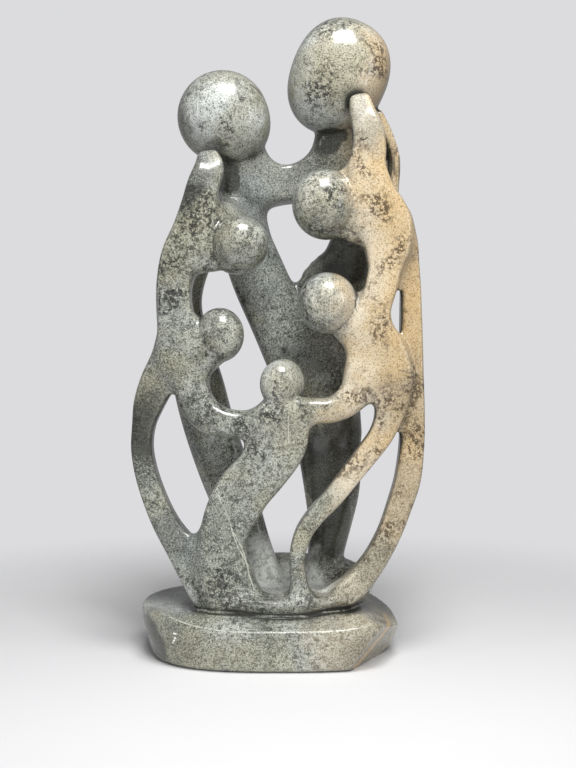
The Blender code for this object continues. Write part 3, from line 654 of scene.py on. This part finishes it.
class Nodes:
    """Adds nodes to a material, each joined to what it takes its inputs from."""

    def __init__(self, tree):
        self.tree = tree

    def add(self, kind, inputs=(), output=0, **settings):
        node = self.tree.nodes.new(kind)
        for name, value in settings.items():
            setattr(node, name, value)
        self.fill(node, dict(inputs))
        return node.outputs[output]

    def fill(self, node, inputs):
        """Sets each input to its value, or joins it to the socket that gives it one."""
        for key, value in inputs.items():
            if isinstance(value, bpy.types.NodeSocket):
                self.tree.links.new(value, node.inputs[key])
            else:
                node.inputs[key].default_value = value

    def math(self, operation, first, second=0.0, clamp=False):
        return self.add("ShaderNodeMath", {0: first, 1: second}, operation=operation, use_clamp=clamp)

    def product(self, first, *others):
        for value in others:
            first = self.math("MULTIPLY", first, value)
        return first

    def scaled(self, value, factor, offset):
        """The value times a factor, plus an offset."""
        return self.add("ShaderNodeMath", {0: value, 1: factor, 2: offset}, operation="MULTIPLY_ADD")

    def vector(self, operation, first, second, output=0):
        return self.add("ShaderNodeVectorMath", {0: first, 1: second}, output, operation=operation)

    def stretched(self, vector, factor):
        return self.add("ShaderNodeVectorMath", {0: vector, "Scale": factor}, operation="SCALE")

    def ramp(self, value, low, high, bottom=0.0, top=1.0):
        """A smooth step of the value from low to high."""
        return self.add("ShaderNodeMapRange", {0: value, 1: low, 2: high, 3: bottom, 4: top},
                        interpolation_type="SMOOTHSTEP")

    def noise(self, place, offset, scale, detail, roughness, warp, output=0):
        """A noise over the place, read at an offset of its own."""
        return self.add("ShaderNodeTexNoise", {
            "Vector": self.vector("ADD", place, offset), "Scale": scale, "Detail": detail,
            "Roughness": roughness, "Distortion": warp}, output)

    def mix(self, share, first, second):
        return self.add("ShaderNodeMix", {0: share, MIX_FIRST: first, MIX_SECOND: second}, MIX_COLOUR,
                        data_type="RGBA")

    def kept(self, name):
        """A number that the mesh keeps at each point."""
        return self.add("ShaderNodeAttribute", output=ATTRIBUTE_VALUE, attribute_name=name)

    def balls(self, place, patches):
        """How strongly the balls cover a place; each falls off across its soft edge."""
        total = 0.0
        for centre, radius, edge, strength in patches:
            middle = tuple(MILLIMETRE * part for part in centre)
            far = self.vector("DISTANCE", place, middle, VECTOR_VALUE)
            rim = MILLIMETRE * radius
            here = self.ramp(far, rim, rim + MILLIMETRE * edge, 1.0, 0.0)
            total = self.scaled(here, strength, total)
        return total

    def cover(self, place, patches, share=1.0):
        """A share of the balls' strength, at most 1."""
        return self.math("MULTIPLY", self.balls(place, patches), share, clamp=True)

    def line(self, place, start, end, half_width):
        """1 along a straight line, falling to 0 at twice its half width."""
        start = MILLIMETRE * Vector(start)
        run = MILLIMETRE * Vector(end) - start
        away = self.vector("SUBTRACT", place, start)
        along = self.vector("DOT_PRODUCT", away, run / run.length_squared, VECTOR_VALUE)
        along = self.math("MULTIPLY", along, 1.0, clamp=True)
        far = self.vector("DISTANCE", away, self.stretched(run, along), VECTOR_VALUE)
        return self.ramp(far, half_width, 2.0 * half_width, 1.0, 0.0)

    def path(self, place, points, half_width):
        """A line through several points."""
        total = self.line(place, points[0], points[1], half_width)
        for start, end in zip(points[1:-1], points[2:]):
            total = self.math("MAXIMUM", total, self.line(place, start, end, half_width))
        return total


GREEN_DARK = (0.09, 0.098, 0.082, 1.0)
GREEN_MID = (0.235, 0.25, 0.205, 1.0)
GREEN_PALE = (0.43, 0.445, 0.395, 1.0)
# Bluer stone, painted dark as shade, for the back bodies.
BLUE_GREY_SHADED = (0.105, 0.12, 0.122, 1.0)
BLUE_PALE = (0.66, 0.69, 0.665, 1.0)
BLUE_MID = (0.25, 0.272, 0.268, 1.0)
OLIVE = (0.3, 0.285, 0.19, 1.0)
OLIVE_PALE = (0.56, 0.52, 0.39, 1.0)
BOWL_LIGHT_PALE = (0.74, 0.76, 0.72, 1.0)
TAN = (0.59, 0.46, 0.28, 1.0)
OCHRE = (0.6, 0.4, 0.16, 1.0)
CREAM = (0.68, 0.595, 0.45, 1.0)
GREY_TAN = (0.34, 0.31, 0.24, 1.0)
BROWN_GREY = (0.2, 0.17, 0.115, 1.0)
SHADOWED = (0.045, 0.048, 0.041, 1.0)
FLECK_DARK = (0.018, 0.018, 0.015, 1.0)
FLECK_BROWN = (0.07, 0.045, 0.022, 1.0)
FLECK_PALE = (0.56, 0.57, 0.5, 1.0)
# The dark of the painted shade in the crevices and hollows.
CREVICE_SHADE_DARK = (0.028, 0.029, 0.024, 1.0)
VEIN_PALE = (0.6, 0.61, 0.52, 1.0)
CHIP_PALE = (0.8, 0.8, 0.76, 1.0)
# The painted highlight along the base's front arris.
ARRIS_HIGHLIGHT_PALE = (0.66, 0.67, 0.6, 1.0)
FLOOR_PALE = (0.84, 0.84, 0.85, 1.0)
ROOM_PALE = (0.98, 0.98, 1.0, 1.0)

# Clouds painted on the stone, each a centre, a radius and a soft edge in millimetres, and a strength.
# Partly paler stone, partly painted light: the heads' broad sheen and their undersides lit as if from the
# front.
LIT_AND_PALE_CLOUDS = (
    ((-47, -40, 500), 32, 30, 1.0), ((40, -40, 552), 26, 34, 1.0), ((36, -30, 518), 18, 24, 1.0),
    ((40, -68, 340), 12, 14, 0.6), ((40, -65, 432), 12, 14, 0.3), ((-104, -20, 48), 30, 26, 1.0),
    ((1, -70, 262), 14, 22, 0.9), ((4, -66, 226), 10, 20, 0.35),
)
DULL_CLOUDS = (
    ((74, -55, 498), 16, 22, 0.85), ((66, -50, 520), 12, 12, 0.85), ((114, -30, 150), 20, 30, 0.6),
    ((94, -40, 88), 16, 22, 0.8),
)
BROWN_CLOUDS = (
    ((66, -62, 16), 16, 18, 0.75), ((94, -45, 22), 14, 16, 0.75), ((124, -30, 250), 20, 50, 0.42),
    ((118, -30, 155), 20, 30, 0.15), ((94, -45, 88), 14, 24, 0.4),
)
# Painted light: the foot's bowl is painted pale, as if lit from above through the ring.
BOWL_PAINTED_LIGHT = (
    ((-6, 6, 70), 34, 22, 0.95), ((40, -20, 68), 16, 20, 0.8),
)
WARM_CLOUDS = (
    ((66, -40, 560), 24, 34, 1.0), ((41, -80, 427), 12, 22, 0.6), ((45, -85, 335), 12, 22, 0.75),
    ((2, -85, 260), 12, 18, 0.6), ((2, -85, 220), 14, 22, 0.6), ((-35, -80, 390), 10, 20, 0.35),
    ((-54, -80, 306), 8, 18, 0.25),
)
# Partly painted shade, under the heads, in the hollow behind the ring and on the back legs; partly darker
# stone on the left leg and the ribbons' tips.
SHADE_AND_DARK_STONE_CLOUDS = (
    ((-83, -55, 422), 8, 18, 0.8), ((-92, -10, 512), 8, 20, 0.65), ((-38, -10, 438), 14, 20, 0.8),
    ((-100, -45, 118), 18, 26, 0.79), ((42, 14, 118), 14, 14, 1.0), ((52, 18, 142), 14, 16, 0.9),
    ((18, -55, 90), 10, 16, 0.65), ((-127, -30, 222), 20, 56, 0.95), ((58, 20, 190), 30, 40, 0.9),
    ((52, 25, 110), 16, 24, 1.0), ((68, 18, 385), 22, 18, 1.0), ((46, 20, 330), 14, 30, 0.5),
    ((-60, 4, 466), 14, 14, 0.95), ((46, 4, 492), 10, 16, 0.9), ((102, 45, 470), 18, 8, 0.95),
    ((-72, -50, 458), 12, 28, 0.8), ((70, -50, 505), 8, 24, 0.3), ((-110, -50, 290), 14, 30, 0.35),
    ((-124, -40, 20), 12, 26, 0.9), ((-108, -60, 30), 18, 30, 0.4), ((-12, 8, 114), 10, 22, 0.6),
    ((-50, -30, 468), 4, 14, 0.7), ((-50, -6, 476), 7, 14, 0.9), ((-28, -2, 484), 6, 12, 0.9),
    ((55, -2, 503), 8, 16, 0.9), ((48, -48, 406), 6, 12, 0.4), ((52, -50, 314), 6, 12, 0.35),
)
# Where the stone is bluer: the shoulders, the left hip and the left leg's foot.
COOL_CLOUDS = (
    ((0, 10, 452), 30, 30, 0.75), ((-45, -10, 440), 20, 24, 0.7), ((-108, -60, 325), 12, 26, 0.5),
    ((-98, -45, 114), 18, 26, 0.9), ((-30, 25, 370), 24, 30, 0.5),
)
# Where dark flecks crowd together.
FLECK_CLOUDS = (
    ((-81, -55, 418), 10, 24, 1.4), ((-80, -45, 500), 4, 16, 0.5), ((40, -45, 536), 8, 18, 0.9),
    ((24, -40, 530), 4, 16, 0.7), ((92, -35, 560), 4, 14, 0.8), ((77, -55, 484), 6, 18, 0.9),
    ((86, -55, 452), 6, 20, 0.8), ((66, -55, 440), 4, 16, 0.6), ((-95, -55, 385), 6, 22, 0.6),
    ((-100, -55, 345), 6, 22, 0.5), ((40, -60, 325), 4, 14, 0.6), ((40, -68, 404), 6, 14, 0.7),
    ((96, -60, 420), 6, 18, 0.7), ((124, -40, 262), 8, 22, 0.9), ((124, -40, 222), 10, 24, 0.9),
    ((120, -40, 180), 8, 22, 0.6), ((94, -50, 105), 6, 20, 0.6), ((-60, -60, 78), 8, 22, 0.7),
    ((-88, -50, 90), 6, 20, 0.5), ((10, 30, 447), 6, 18, 0.6),
)
# The two right-hand children's heads, which the rind stops short of.
RINDLESS_HEADS = (
    ((42, -48, 427), 20, 6, 0.85), ((44, -51, 335), 20, 6, 0.85),
)
# Where the polish has dulled: the ribbons' tips, her shoulder and the foot's lip.
DULLED = (
    ((-66, -45, 474), 10, 6, 0.85), ((75, -52, 522), 10, 8, 0.85), ((-40, -12, 428), 12, 10, 0.85),
    ((-32, -58, 64), 16, 10, 0.85), ((20, -60, 63), 14, 10, 0.85),
)
# Small chips low on the base's front.
CHIPS = (
    ((-95, 0, 33.5), 0.7, 0.6, 1.0), ((-93.5, 0, 33.5), 0.6, 0.6, 1.0), ((-94.2, 0, 29.2), 0.8, 0.6, 1.0),
    ((-95.3, 0, 26.8), 0.7, 0.6, 1.0), ((-96.3, 0, 24.8), 0.5, 0.6, 1.0),
)
# Pale veins down the smallest child's body, and a short one above it. The marks
# on the front are given without their depth.
VEINS = (
    ((-55, 0, 160), (-43, 0, 129), (-31, 0, 101), (-23, 0, 71)),
    ((-43, 0, 129), (-38, 0, 110), (-26, 0, 90)),
    ((9, 0, 231), (9, 0, 207)),
)
CRACKS = (
    ((-28, 0, 546), (-22, 0, 543), (-17, 0, 538)),
    ((74, 0, 484), (78, 0, 483), (81, 0, 485)),
)
# The ochre seam down the cut corner of the base.
OCHRE_SEAM = ((112, 0, 47), (96, 0, 29), (70, 0, 2))

# Noises in the stone: the offset each is read at, its scale, detail, roughness and warp.
STIR = (ORIGIN, 45.0, 3.0, 0.5, 0.0)
CLOUDS = (ORIGIN, 11.0, 4.0, 0.55, 0.6)
MOTTLE = ((3.1, 1.7, 0.4), 55.0, 5.0, 0.65, 0.3)
FRECKLES = ((6.0, 2.0, 1.0), 170.0, 4.0, 0.72, 0.2)
OLIVE_VEIL = ((0.3, 5.2, 2.2), 17.0, 3.0, 0.5, 0.0)
WANDER = ((7.0, 0.0, 3.0), 16.0, 5.0, 0.62, 0.4)
RIND_TONES = ((1.0, 9.0, 4.0), 22.0, 4.0, 0.6, 0.0)
FLECKS = (ORIGIN, 700.0, 3.0, 0.78, 0.0)
CLUSTERS = ((2.0, 2.0, 8.0), 26.0, 4.0, 0.62, 0.5)
GRAINS = ((5.0, 1.0, 1.0), 260.0, 4.0, 0.75, 0.0)
RELIEF = ((4.0, 4.0, 4.0), 140.0, 4.0, 0.55, 0.0)

# Steps: the two values between which a layer comes in, of a noise, of a kept number
# or of a place in metres, and the layer's strength at each where that isn't 0 and 1.
CLOUD_STEP = (0.36, 0.64)
MOTTLE_STEP = (0.45, 0.68, 0.0, 0.7)
FRECKLE_STEP = (0.49, 0.58, 0.0, 0.92)
OLIVE_STEP = (0.44, 0.62, 0.0, 0.6)
SHADED_BLUE_BACK_STEP = (-0.02, 0.03, 0.0, 0.62)
DEEPEST_SHADE_STEP = (0.6, 1.0, 0.0, 0.9)
FAINT_STEP = (0.0, 0.9, 1.0, 0.22)
RIND_EDGE_STEP = (-0.012, 0.026)
RIND_DEPTH_STEP = (-0.012, 0.018, 1.0, 0.1)
RIND_HEIGHT_STEP = (0.05, 0.17, 0.35, 1.0)
RIND_TONE_STEP = (0.38, 0.62)
OCHRE_STEP = (0.1, 0.134, 0.0, 0.58)
PALE_FLECK_STEP = (0.52, 0.61, 0.0, 0.52)
DARK_FLECK_STEP = (0.49, 0.39, 0.0, 0.85)
CLUSTER_STEP = (0.5, 0.65)
CLUSTER_GRAIN_STEP = (0.46, 0.55)
CLUSTER_HEIGHT_STEP = (0.03, 0.07, 0.45, 0.9)
HOLLOW_STEP = (0.25, 1.0, 0.0, 0.6)
CREVICE_STEP = (0.08, 0.48, 0.0, 0.92)
ARRIS_STEP = (0.2, 0.6, 0.0, 0.55)
ARRIS_GRAIN_STEP = (0.36, 0.6, 0.3, 1.0)
VEIN_GRAIN_STEP = (0.36, 0.56, 0.15, 0.7)
SEAM_GRAIN_STEP = (0.36, 0.6, 0.35, 0.85)
HIGHLIGHT_GRAIN_STEP = (0.36, 0.56, 0.25, 0.85)
FRONT_MARK_STEP = (-0.045, -0.041, 1.0, 0.0)
CRACK_DEPTH_STEP = (-0.01, 0.0, 0.85, 0.0)
SEAM_DEPTH_STEP = (-0.01, 0.0, 1.0, 0.0)
# The wax polish is thin near the floor and full from the legs up.
WAX_STEP = (0.07, 0.2, 0.25, 0.9)
ROUGHNESS_STEP = (0.3, 0.75, 0.22, 0.38)

# How far the clouds' edges are stirred, and the veins' course.
STIR_REACH = 0.035
VEIN_STIR = 0.1
# Shares of a layer.
DARK_KEPT_OFF_PALE = 0.65
COOL_SHARE = 0.75
FLECKS_ON_RIND = 0.75
CROWDING = 0.16
LATE_BOWL_LIGHT_SHARE = 0.45
SHADE_KEPT_OFF_BOWL = 0.9
# How far right the rind's edge lies at the floor and at the height RIND_RISE.
RIND_AT_FLOOR = 0.022
RIND_AT_TOP = 0.066
RIND_RISE = 0.62
EDGE_WANDER = 0.11
OCHRE_WANDER = 0.05
# Half widths of the marks, in metres.
VEIN_HALF_WIDTH = 0.0003
CRACK_HALF_WIDTH = 0.0004
SEAM_HALF_WIDTH = 0.0014
HIGHLIGHT_HALF_WIDTH = 0.0004
# The surface.
DULLED_ROUGHNESS = 0.28
COAT_ROUGHNESS = 0.11
RELIEF_STRENGTH = 0.2
RELIEF_DEPTH = 0.0005


def arris_highlight_line(make, x, y, z):
    """1 on the base's front arris, where its sloped top meets its side: a line of painted highlight."""
    slant = math.hypot(BASE_FRONT_CHAMFER, BASE_FRONT_CHAMFER_DROP)
    plane = make.scaled(y, -BASE_FRONT_CHAMFER_DROP / slant,
                        -(BASE_TOP_DEPTH / 2.0 * BASE_FRONT_CHAMFER_DROP
                          + (BASE_HEIGHT - BASE_FRONT_CHAMFER_DROP) * BASE_FRONT_CHAMFER) / slant)
    plane = make.scaled(z, BASE_FRONT_CHAMFER / slant, plane)
    rise = make.math("DIVIDE", z, BASE_HEIGHT, clamp=True)
    flare = make.math("SINE", make.math("MULTIPLY", rise, math.pi / 2.0))
    on_right = make.math("GREATER_THAN", x, BASE_MIDDLE_X)
    squareness = make.scaled(on_right, BASE_SQUARENESS_RIGHT - BASE_SQUARENESS_LEFT,
                             BASE_SQUARENESS_LEFT)
    ovals = []
    for place, middle, foot_size, top_size in (
        (x, BASE_MIDDLE_X, BASE_FOOT_LENGTH, BASE_TOP_LENGTH),
        (y, 0.0, BASE_FOOT_DEPTH, BASE_TOP_DEPTH),
    ):
        half = make.scaled(flare, (top_size - foot_size) / 2.0, foot_size / 2.0)
        out = make.math("ABSOLUTE", make.math("SUBTRACT", place, middle))
        ovals.append(make.math("POWER", make.math("DIVIDE", out, half), squareness))
    size = make.math("POWER", make.math("ADD", *ovals), make.math("DIVIDE", 1.0, squareness))
    side = make.math("MULTIPLY", make.math("SUBTRACT", size, 1.0), BASE_TOP_DEPTH / 2.0)
    near_plane = make.ramp(make.math("ABSOLUTE", plane), HIGHLIGHT_HALF_WIDTH, 2.0 * HIGHLIGHT_HALF_WIDTH, 1.0, 0.0)
    near_side = make.ramp(make.math("ABSOLUTE", side), 2.0 * HIGHLIGHT_HALF_WIDTH, 3.0 * HIGHLIGHT_HALF_WIDTH, 1.0, 0.0)
    return make.product(near_plane, near_side)


def new_material(name):
    """A new material, its shader, and the maker of its nodes."""
    material = bpy.data.materials.new(name)
    material.use_nodes = True
    tree = material.node_tree
    return material, tree.nodes["Principled BSDF"], Nodes(tree)


def stone_material():
    material, shader, make = new_material("polished_serpentine")
    place = make.add("ShaderNodeTexCoord", output=OBJECT_PLACE)
    x, y, z = make.add("ShaderNodeSeparateXYZ", {0: place}).node.outputs
    stir = make.vector("SUBTRACT", make.noise(place, *STIR, NOISE_COLOUR), (NOISE_MIDDLE,) * 3)
    stir = make.stretched(stir, STIR_REACH)
    stirred = make.vector("ADD", place, stir)

    # Cool stone: soft clouds of grey-green, with the back bodies bluer and painted darker as shade.
    colour = make.mix(make.ramp(make.noise(place, *CLOUDS), *CLOUD_STEP), GREEN_MID, GREEN_PALE)
    # Partly pale stone, partly painted light on the heads.
    lit_and_pale = make.cover(stirred, LIT_AND_PALE_CLOUDS)
    colour = make.mix(lit_and_pale, colour, BLUE_PALE)
    colour = make.mix(make.cover(stirred, WARM_CLOUDS), colour, OLIVE_PALE)
    mottle = make.noise(place, *MOTTLE)
    clear = make.math("SUBTRACT", 1.0, make.math("MULTIPLY", lit_and_pale, DARK_KEPT_OFF_PALE))
    colour = make.mix(make.product(make.ramp(mottle, *MOTTLE_STEP), clear), colour, GREEN_DARK)
    colour = make.mix(make.ramp(y, *SHADED_BLUE_BACK_STEP), colour, BLUE_GREY_SHADED)
    # Painted light in the foot's bowl.
    bowl_light = make.cover(stirred, BOWL_PAINTED_LIGHT)
    colour = make.mix(bowl_light, colour, BOWL_LIGHT_PALE)
    # Painted shade, and darker stone, from the clouds above.
    shade_and_dark_stone = make.cover(stirred, SHADE_AND_DARK_STONE_CLOUDS)
    colour = make.mix(shade_and_dark_stone, colour, SHADOWED)
    freckles = make.ramp(make.noise(place, *FRECKLES), *FRECKLE_STEP)
    colour = make.mix(make.product(freckles, clear), colour, GREEN_DARK)
    colour = make.mix(make.ramp(make.noise(place, *OLIVE_VEIL), *OLIVE_STEP), colour, OLIVE)
    colour = make.mix(make.cover(stirred, COOL_CLOUDS, COOL_SHARE), colour, BLUE_MID)

    # The tan rind on the right, with a ragged edge.
    wander = make.noise(place, *WANDER)
    ragged = make.math("MULTIPLY", make.math("SUBTRACT", wander, NOISE_MIDDLE), EDGE_WANDER)
    edge_line = make.scaled(z, (RIND_AT_TOP - RIND_AT_FLOOR) / RIND_RISE, RIND_AT_FLOOR)
    past_edge = make.math("ADD", make.math("SUBTRACT", x, edge_line), ragged)
    rind = make.product(
        make.ramp(past_edge, *RIND_EDGE_STEP),
        make.ramp(y, *RIND_DEPTH_STEP),
        make.ramp(z, *RIND_HEIGHT_STEP),
        make.math("SUBTRACT", 1.0, make.cover(stirred, RINDLESS_HEADS)),
    )
    tan = make.mix(make.ramp(make.noise(place, *RIND_TONES), *RIND_TONE_STEP), TAN, CREAM)
    ochre = make.math("ADD", x, make.math("MULTIPLY", wander, OCHRE_WANDER))
    tan = make.mix(make.ramp(ochre, *OCHRE_STEP), tan, OCHRE)
    tan = make.mix(make.cover(stirred, DULL_CLOUDS), tan, GREY_TAN)
    colour = make.mix(rind, colour, tan)
    colour = make.mix(make.cover(stirred, BROWN_CLOUDS), colour, BROWN_GREY)

    # Painted shade: the deepest shaded places are painted darkest, with only a faint grain.
    deepest_shade = make.ramp(shade_and_dark_stone, *DEEPEST_SHADE_STEP)
    colour = make.mix(deepest_shade, colour, SHADOWED)

    # Fine flecks, pale and dark, and clusters of larger dark ones.
    fine = make.noise(place, *FLECKS)
    quiet = make.scaled(rind, FLECKS_ON_RIND - 1.0, 1.0)
    pale_flecks = make.product(make.ramp(fine, *PALE_FLECK_STEP), quiet, make.ramp(deepest_shade, *FAINT_STEP))
    colour = make.mix(pale_flecks, colour, FLECK_PALE)
    fleck = make.mix(rind, FLECK_DARK, FLECK_BROWN)
    colour = make.mix(make.product(make.ramp(fine, *DARK_FLECK_STEP), quiet), colour, fleck)
    grains = make.noise(place, *GRAINS)
    crowd = make.scaled(make.balls(stirred, FLECK_CLOUDS), CROWDING, make.noise(place, *CLUSTERS))
    clusters = make.product(
        make.ramp(crowd, *CLUSTER_STEP),
        make.ramp(grains, *CLUSTER_GRAIN_STEP),
        make.ramp(z, *CLUSTER_HEIGHT_STEP),
    )
    colour = make.mix(clusters, colour, fleck)

    # Painted light: the bowl's floor is painted pale, as if lit from above.
    colour = make.mix(make.math("MULTIPLY", bowl_light, LATE_BOWL_LIGHT_SHARE), colour, BOWL_LIGHT_PALE)

    # Painted shade darkens the crevices and hollows, and the arrises are paler.
    kept_pale = make.math("SUBTRACT", 1.0, make.math("MULTIPLY", bowl_light, SHADE_KEPT_OFF_BOWL))
    shade = make.product(make.ramp(make.kept("hollow"), *HOLLOW_STEP), kept_pale)
    colour = make.mix(shade, colour, CREVICE_SHADE_DARK)
    colour = make.mix(make.ramp(make.kept("crevice"), *CREVICE_STEP), colour, CREVICE_SHADE_DARK)
    pale_arris = make.product(make.ramp(make.kept("arris"), *ARRIS_STEP), make.ramp(grains, *ARRIS_GRAIN_STEP))
    colour = make.mix(pale_arris, colour, FLECK_PALE)

    # Veins, cracks and small chips, and a painted highlight: the pale line along the base's front edge.
    facing = make.vector("MULTIPLY", place, (1.0, 0.0, 1.0))
    wavy = make.vector("ADD", facing, make.vector("MULTIPLY", stir, (VEIN_STIR, 0.0, VEIN_STIR)))
    at_front = make.ramp(y, *FRONT_MARK_STEP)
    vein_grain = make.ramp(grains, *VEIN_GRAIN_STEP)
    for points in VEINS:
        vein = make.product(make.path(wavy, points, VEIN_HALF_WIDTH), vein_grain, at_front)
        colour = make.mix(vein, colour, VEIN_PALE)
    crack_depth = make.ramp(y, *CRACK_DEPTH_STEP)
    for points in CRACKS:
        crack = make.product(make.path(facing, points, CRACK_HALF_WIDTH), crack_depth)
        colour = make.mix(crack, colour, FLECK_DARK)
    seam = make.product(
        make.path(wavy, OCHRE_SEAM, SEAM_HALF_WIDTH),
        make.ramp(grains, *SEAM_GRAIN_STEP),
        make.ramp(y, *SEAM_DEPTH_STEP),
    )
    colour = make.mix(seam, colour, OCHRE)
    colour = make.mix(make.cover(facing, CHIPS, at_front), colour, CHIP_PALE)
    arris_highlight = make.product(arris_highlight_line(make, x, y, z), make.ramp(grains, *HIGHLIGHT_GRAIN_STEP))
    colour = make.mix(arris_highlight, colour, ARRIS_HIGHLIGHT_PALE)

    dulled = make.cover(place, DULLED)
    wax = make.product(make.ramp(z, *WAX_STEP), make.math("SUBTRACT", 1.0, dulled))
    make.fill(shader, {
        "Base Color": colour,
        "Roughness": make.scaled(dulled, DULLED_ROUGHNESS, make.ramp(mottle, *ROUGHNESS_STEP)),
        "Coat Weight": wax,
        "Coat Roughness": COAT_ROUGHNESS,
        "Normal": make.add("ShaderNodeBump", {
            "Strength": RELIEF_STRENGTH, "Distance": RELIEF_DEPTH, "Height": make.noise(place, *RELIEF)}),
    })
    return material


def carving():
    grid = work_grid()
    field = close_pinches(stone(grid), PINCH_DEPTH)
    points, faces = skin(field, grid)
    points = settled(points, faces, field, grid)
    mesh = bpy.data.meshes.new("carved_stone")
    mesh.from_pydata(points.tolist(), [], faces.tolist())
    for name, reach in (("crevice", CREVICE_REACH), ("hollow", HOLLOW_REACH), ("arris", -ARRIS_REACH)):
        layer = mesh.attributes.new(name, "FLOAT", "POINT")
        layer.data.foreach_set("value", np.float32(closeness(points, field, grid, reach)))
    piece = in_scene("carved_stone", mesh)
    cut_flat(piece)
    piece.data.shade_smooth()
    piece.data.materials.append(stone_material())
    return piece


FLOOR_RADIUS = 0.8
FLOOR_SIDES = 96
FLOOR_FADE_START = 0.22
FLOOR_FADE_END = 0.98 * FLOOR_RADIUS
FLOOR_ROUGHNESS = 0.9
FLOOR_SPECULAR = 0.1
ROOM_LIGHT = 0.1
ROOM_IN_POLISH = 0.28
ROOM_BRIGHTNESS = 0.73

# The lights: name, place, width, height, watts, and whether the polish mirrors it.
LIGHT_TARGET = (0.0, 0.0, 0.33)
LIGHTS = (
    ("overhead", (0.12, -0.56, 1.42), 0.54, 0.5, 14.0, True),
    ("front", (0.18, -1.32, 1.15), 0.55, 0.45, 14.0, False),
    ("low_front", (-0.1, -1.1, 0.06), 0.6, 0.1, 3.6, False),
    ("left_strip", (-1.1, -0.6, 0.62), 0.12, 0.8, 1.0, True),
    ("right_strip", (1.1, -0.6, 0.62), 0.12, 0.8, 1.3, True),
)

# The camera looks straight back from here; its focal length is in pixels of the photo.
CAMERA_PLACE = (0.0084, -0.93, 0.26)
FOCAL_LENGTH = 950.0
PHOTO_HEIGHT = 768.0
SENSOR_HEIGHT = 36.0


def in_scene(name, data):
    """A new object in the scene."""
    thing = bpy.data.objects.new(name, data)
    bpy.context.scene.collection.objects.link(thing)
    return thing


def floor():
    """A round pale floor whose rim fades into the pale room."""
    shape = bmesh.new()
    bmesh.ops.create_circle(shape, cap_ends=True, radius=FLOOR_RADIUS, segments=FLOOR_SIDES)
    mesh = bpy.data.meshes.new("pale_floor")
    shape.to_mesh(mesh)
    shape.free()
    material, shader, make = new_material("pale_floor")
    place = make.add("ShaderNodeTexCoord", output=OBJECT_PLACE)
    far = make.vector("DISTANCE", place, ORIGIN, VECTOR_VALUE)
    make.fill(shader, {
        "Base Color": FLOOR_PALE,
        "Roughness": FLOOR_ROUGHNESS,
        "Specular IOR Level": FLOOR_SPECULAR,
        "Alpha": make.ramp(far, FLOOR_FADE_START, FLOOR_FADE_END, 1.0, 0.0),
    })
    mesh.materials.append(material)
    return in_scene("pale_floor", mesh)


def soft_light(name, place, width, height, power, mirrored):
    """A soft box; one that isn't mirrored lights the stone but isn't seen in its polish."""
    data = bpy.data.lights.new(name, "AREA")
    data.shape = "RECTANGLE"
    data.size = width
    data.size_y = height
    data.energy = power
    light = in_scene(name, data)
    light.location = place
    light.rotation_euler = (Vector(LIGHT_TARGET) - Vector(place)).to_track_quat("-Z", "Y").to_euler()
    light.visible_glossy = mirrored


def camera():
    data = bpy.data.cameras.new("camera")
    data.sensor_fit = "VERTICAL"
    data.sensor_height = SENSOR_HEIGHT
    data.lens = FOCAL_LENGTH / PHOTO_HEIGHT * SENSOR_HEIGHT
    viewer = in_scene("camera", data)
    viewer.location = CAMERA_PLACE
    viewer.rotation_euler = (math.radians(90.0), 0.0, 0.0)
    bpy.context.scene.camera = viewer


def surroundings():
    """A pale room that lights the stone less than it shows, and the soft lights."""
    world = bpy.data.worlds.new("soft_room")
    world.use_nodes = True
    make = Nodes(world.node_tree)
    seen = make.add("ShaderNodeLightPath")
    mirrored = seen.node.outputs["Is Glossy Ray"]
    strength = make.ramp(mirrored, 0.0, 1.0, ROOM_LIGHT, ROOM_IN_POLISH)
    strength = make.ramp(seen, 0.0, 1.0, strength, ROOM_BRIGHTNESS)
    make.fill(world.node_tree.nodes["Background"], {"Color": ROOM_PALE, "Strength": strength})
    bpy.context.scene.world = world
    bpy.context.scene.view_settings.view_transform = "Standard"
    for light in LIGHTS:
        soft_light(*light)


camera()
surroundings()
group = carving()
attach(group, "root")
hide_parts("family_group")
floor()
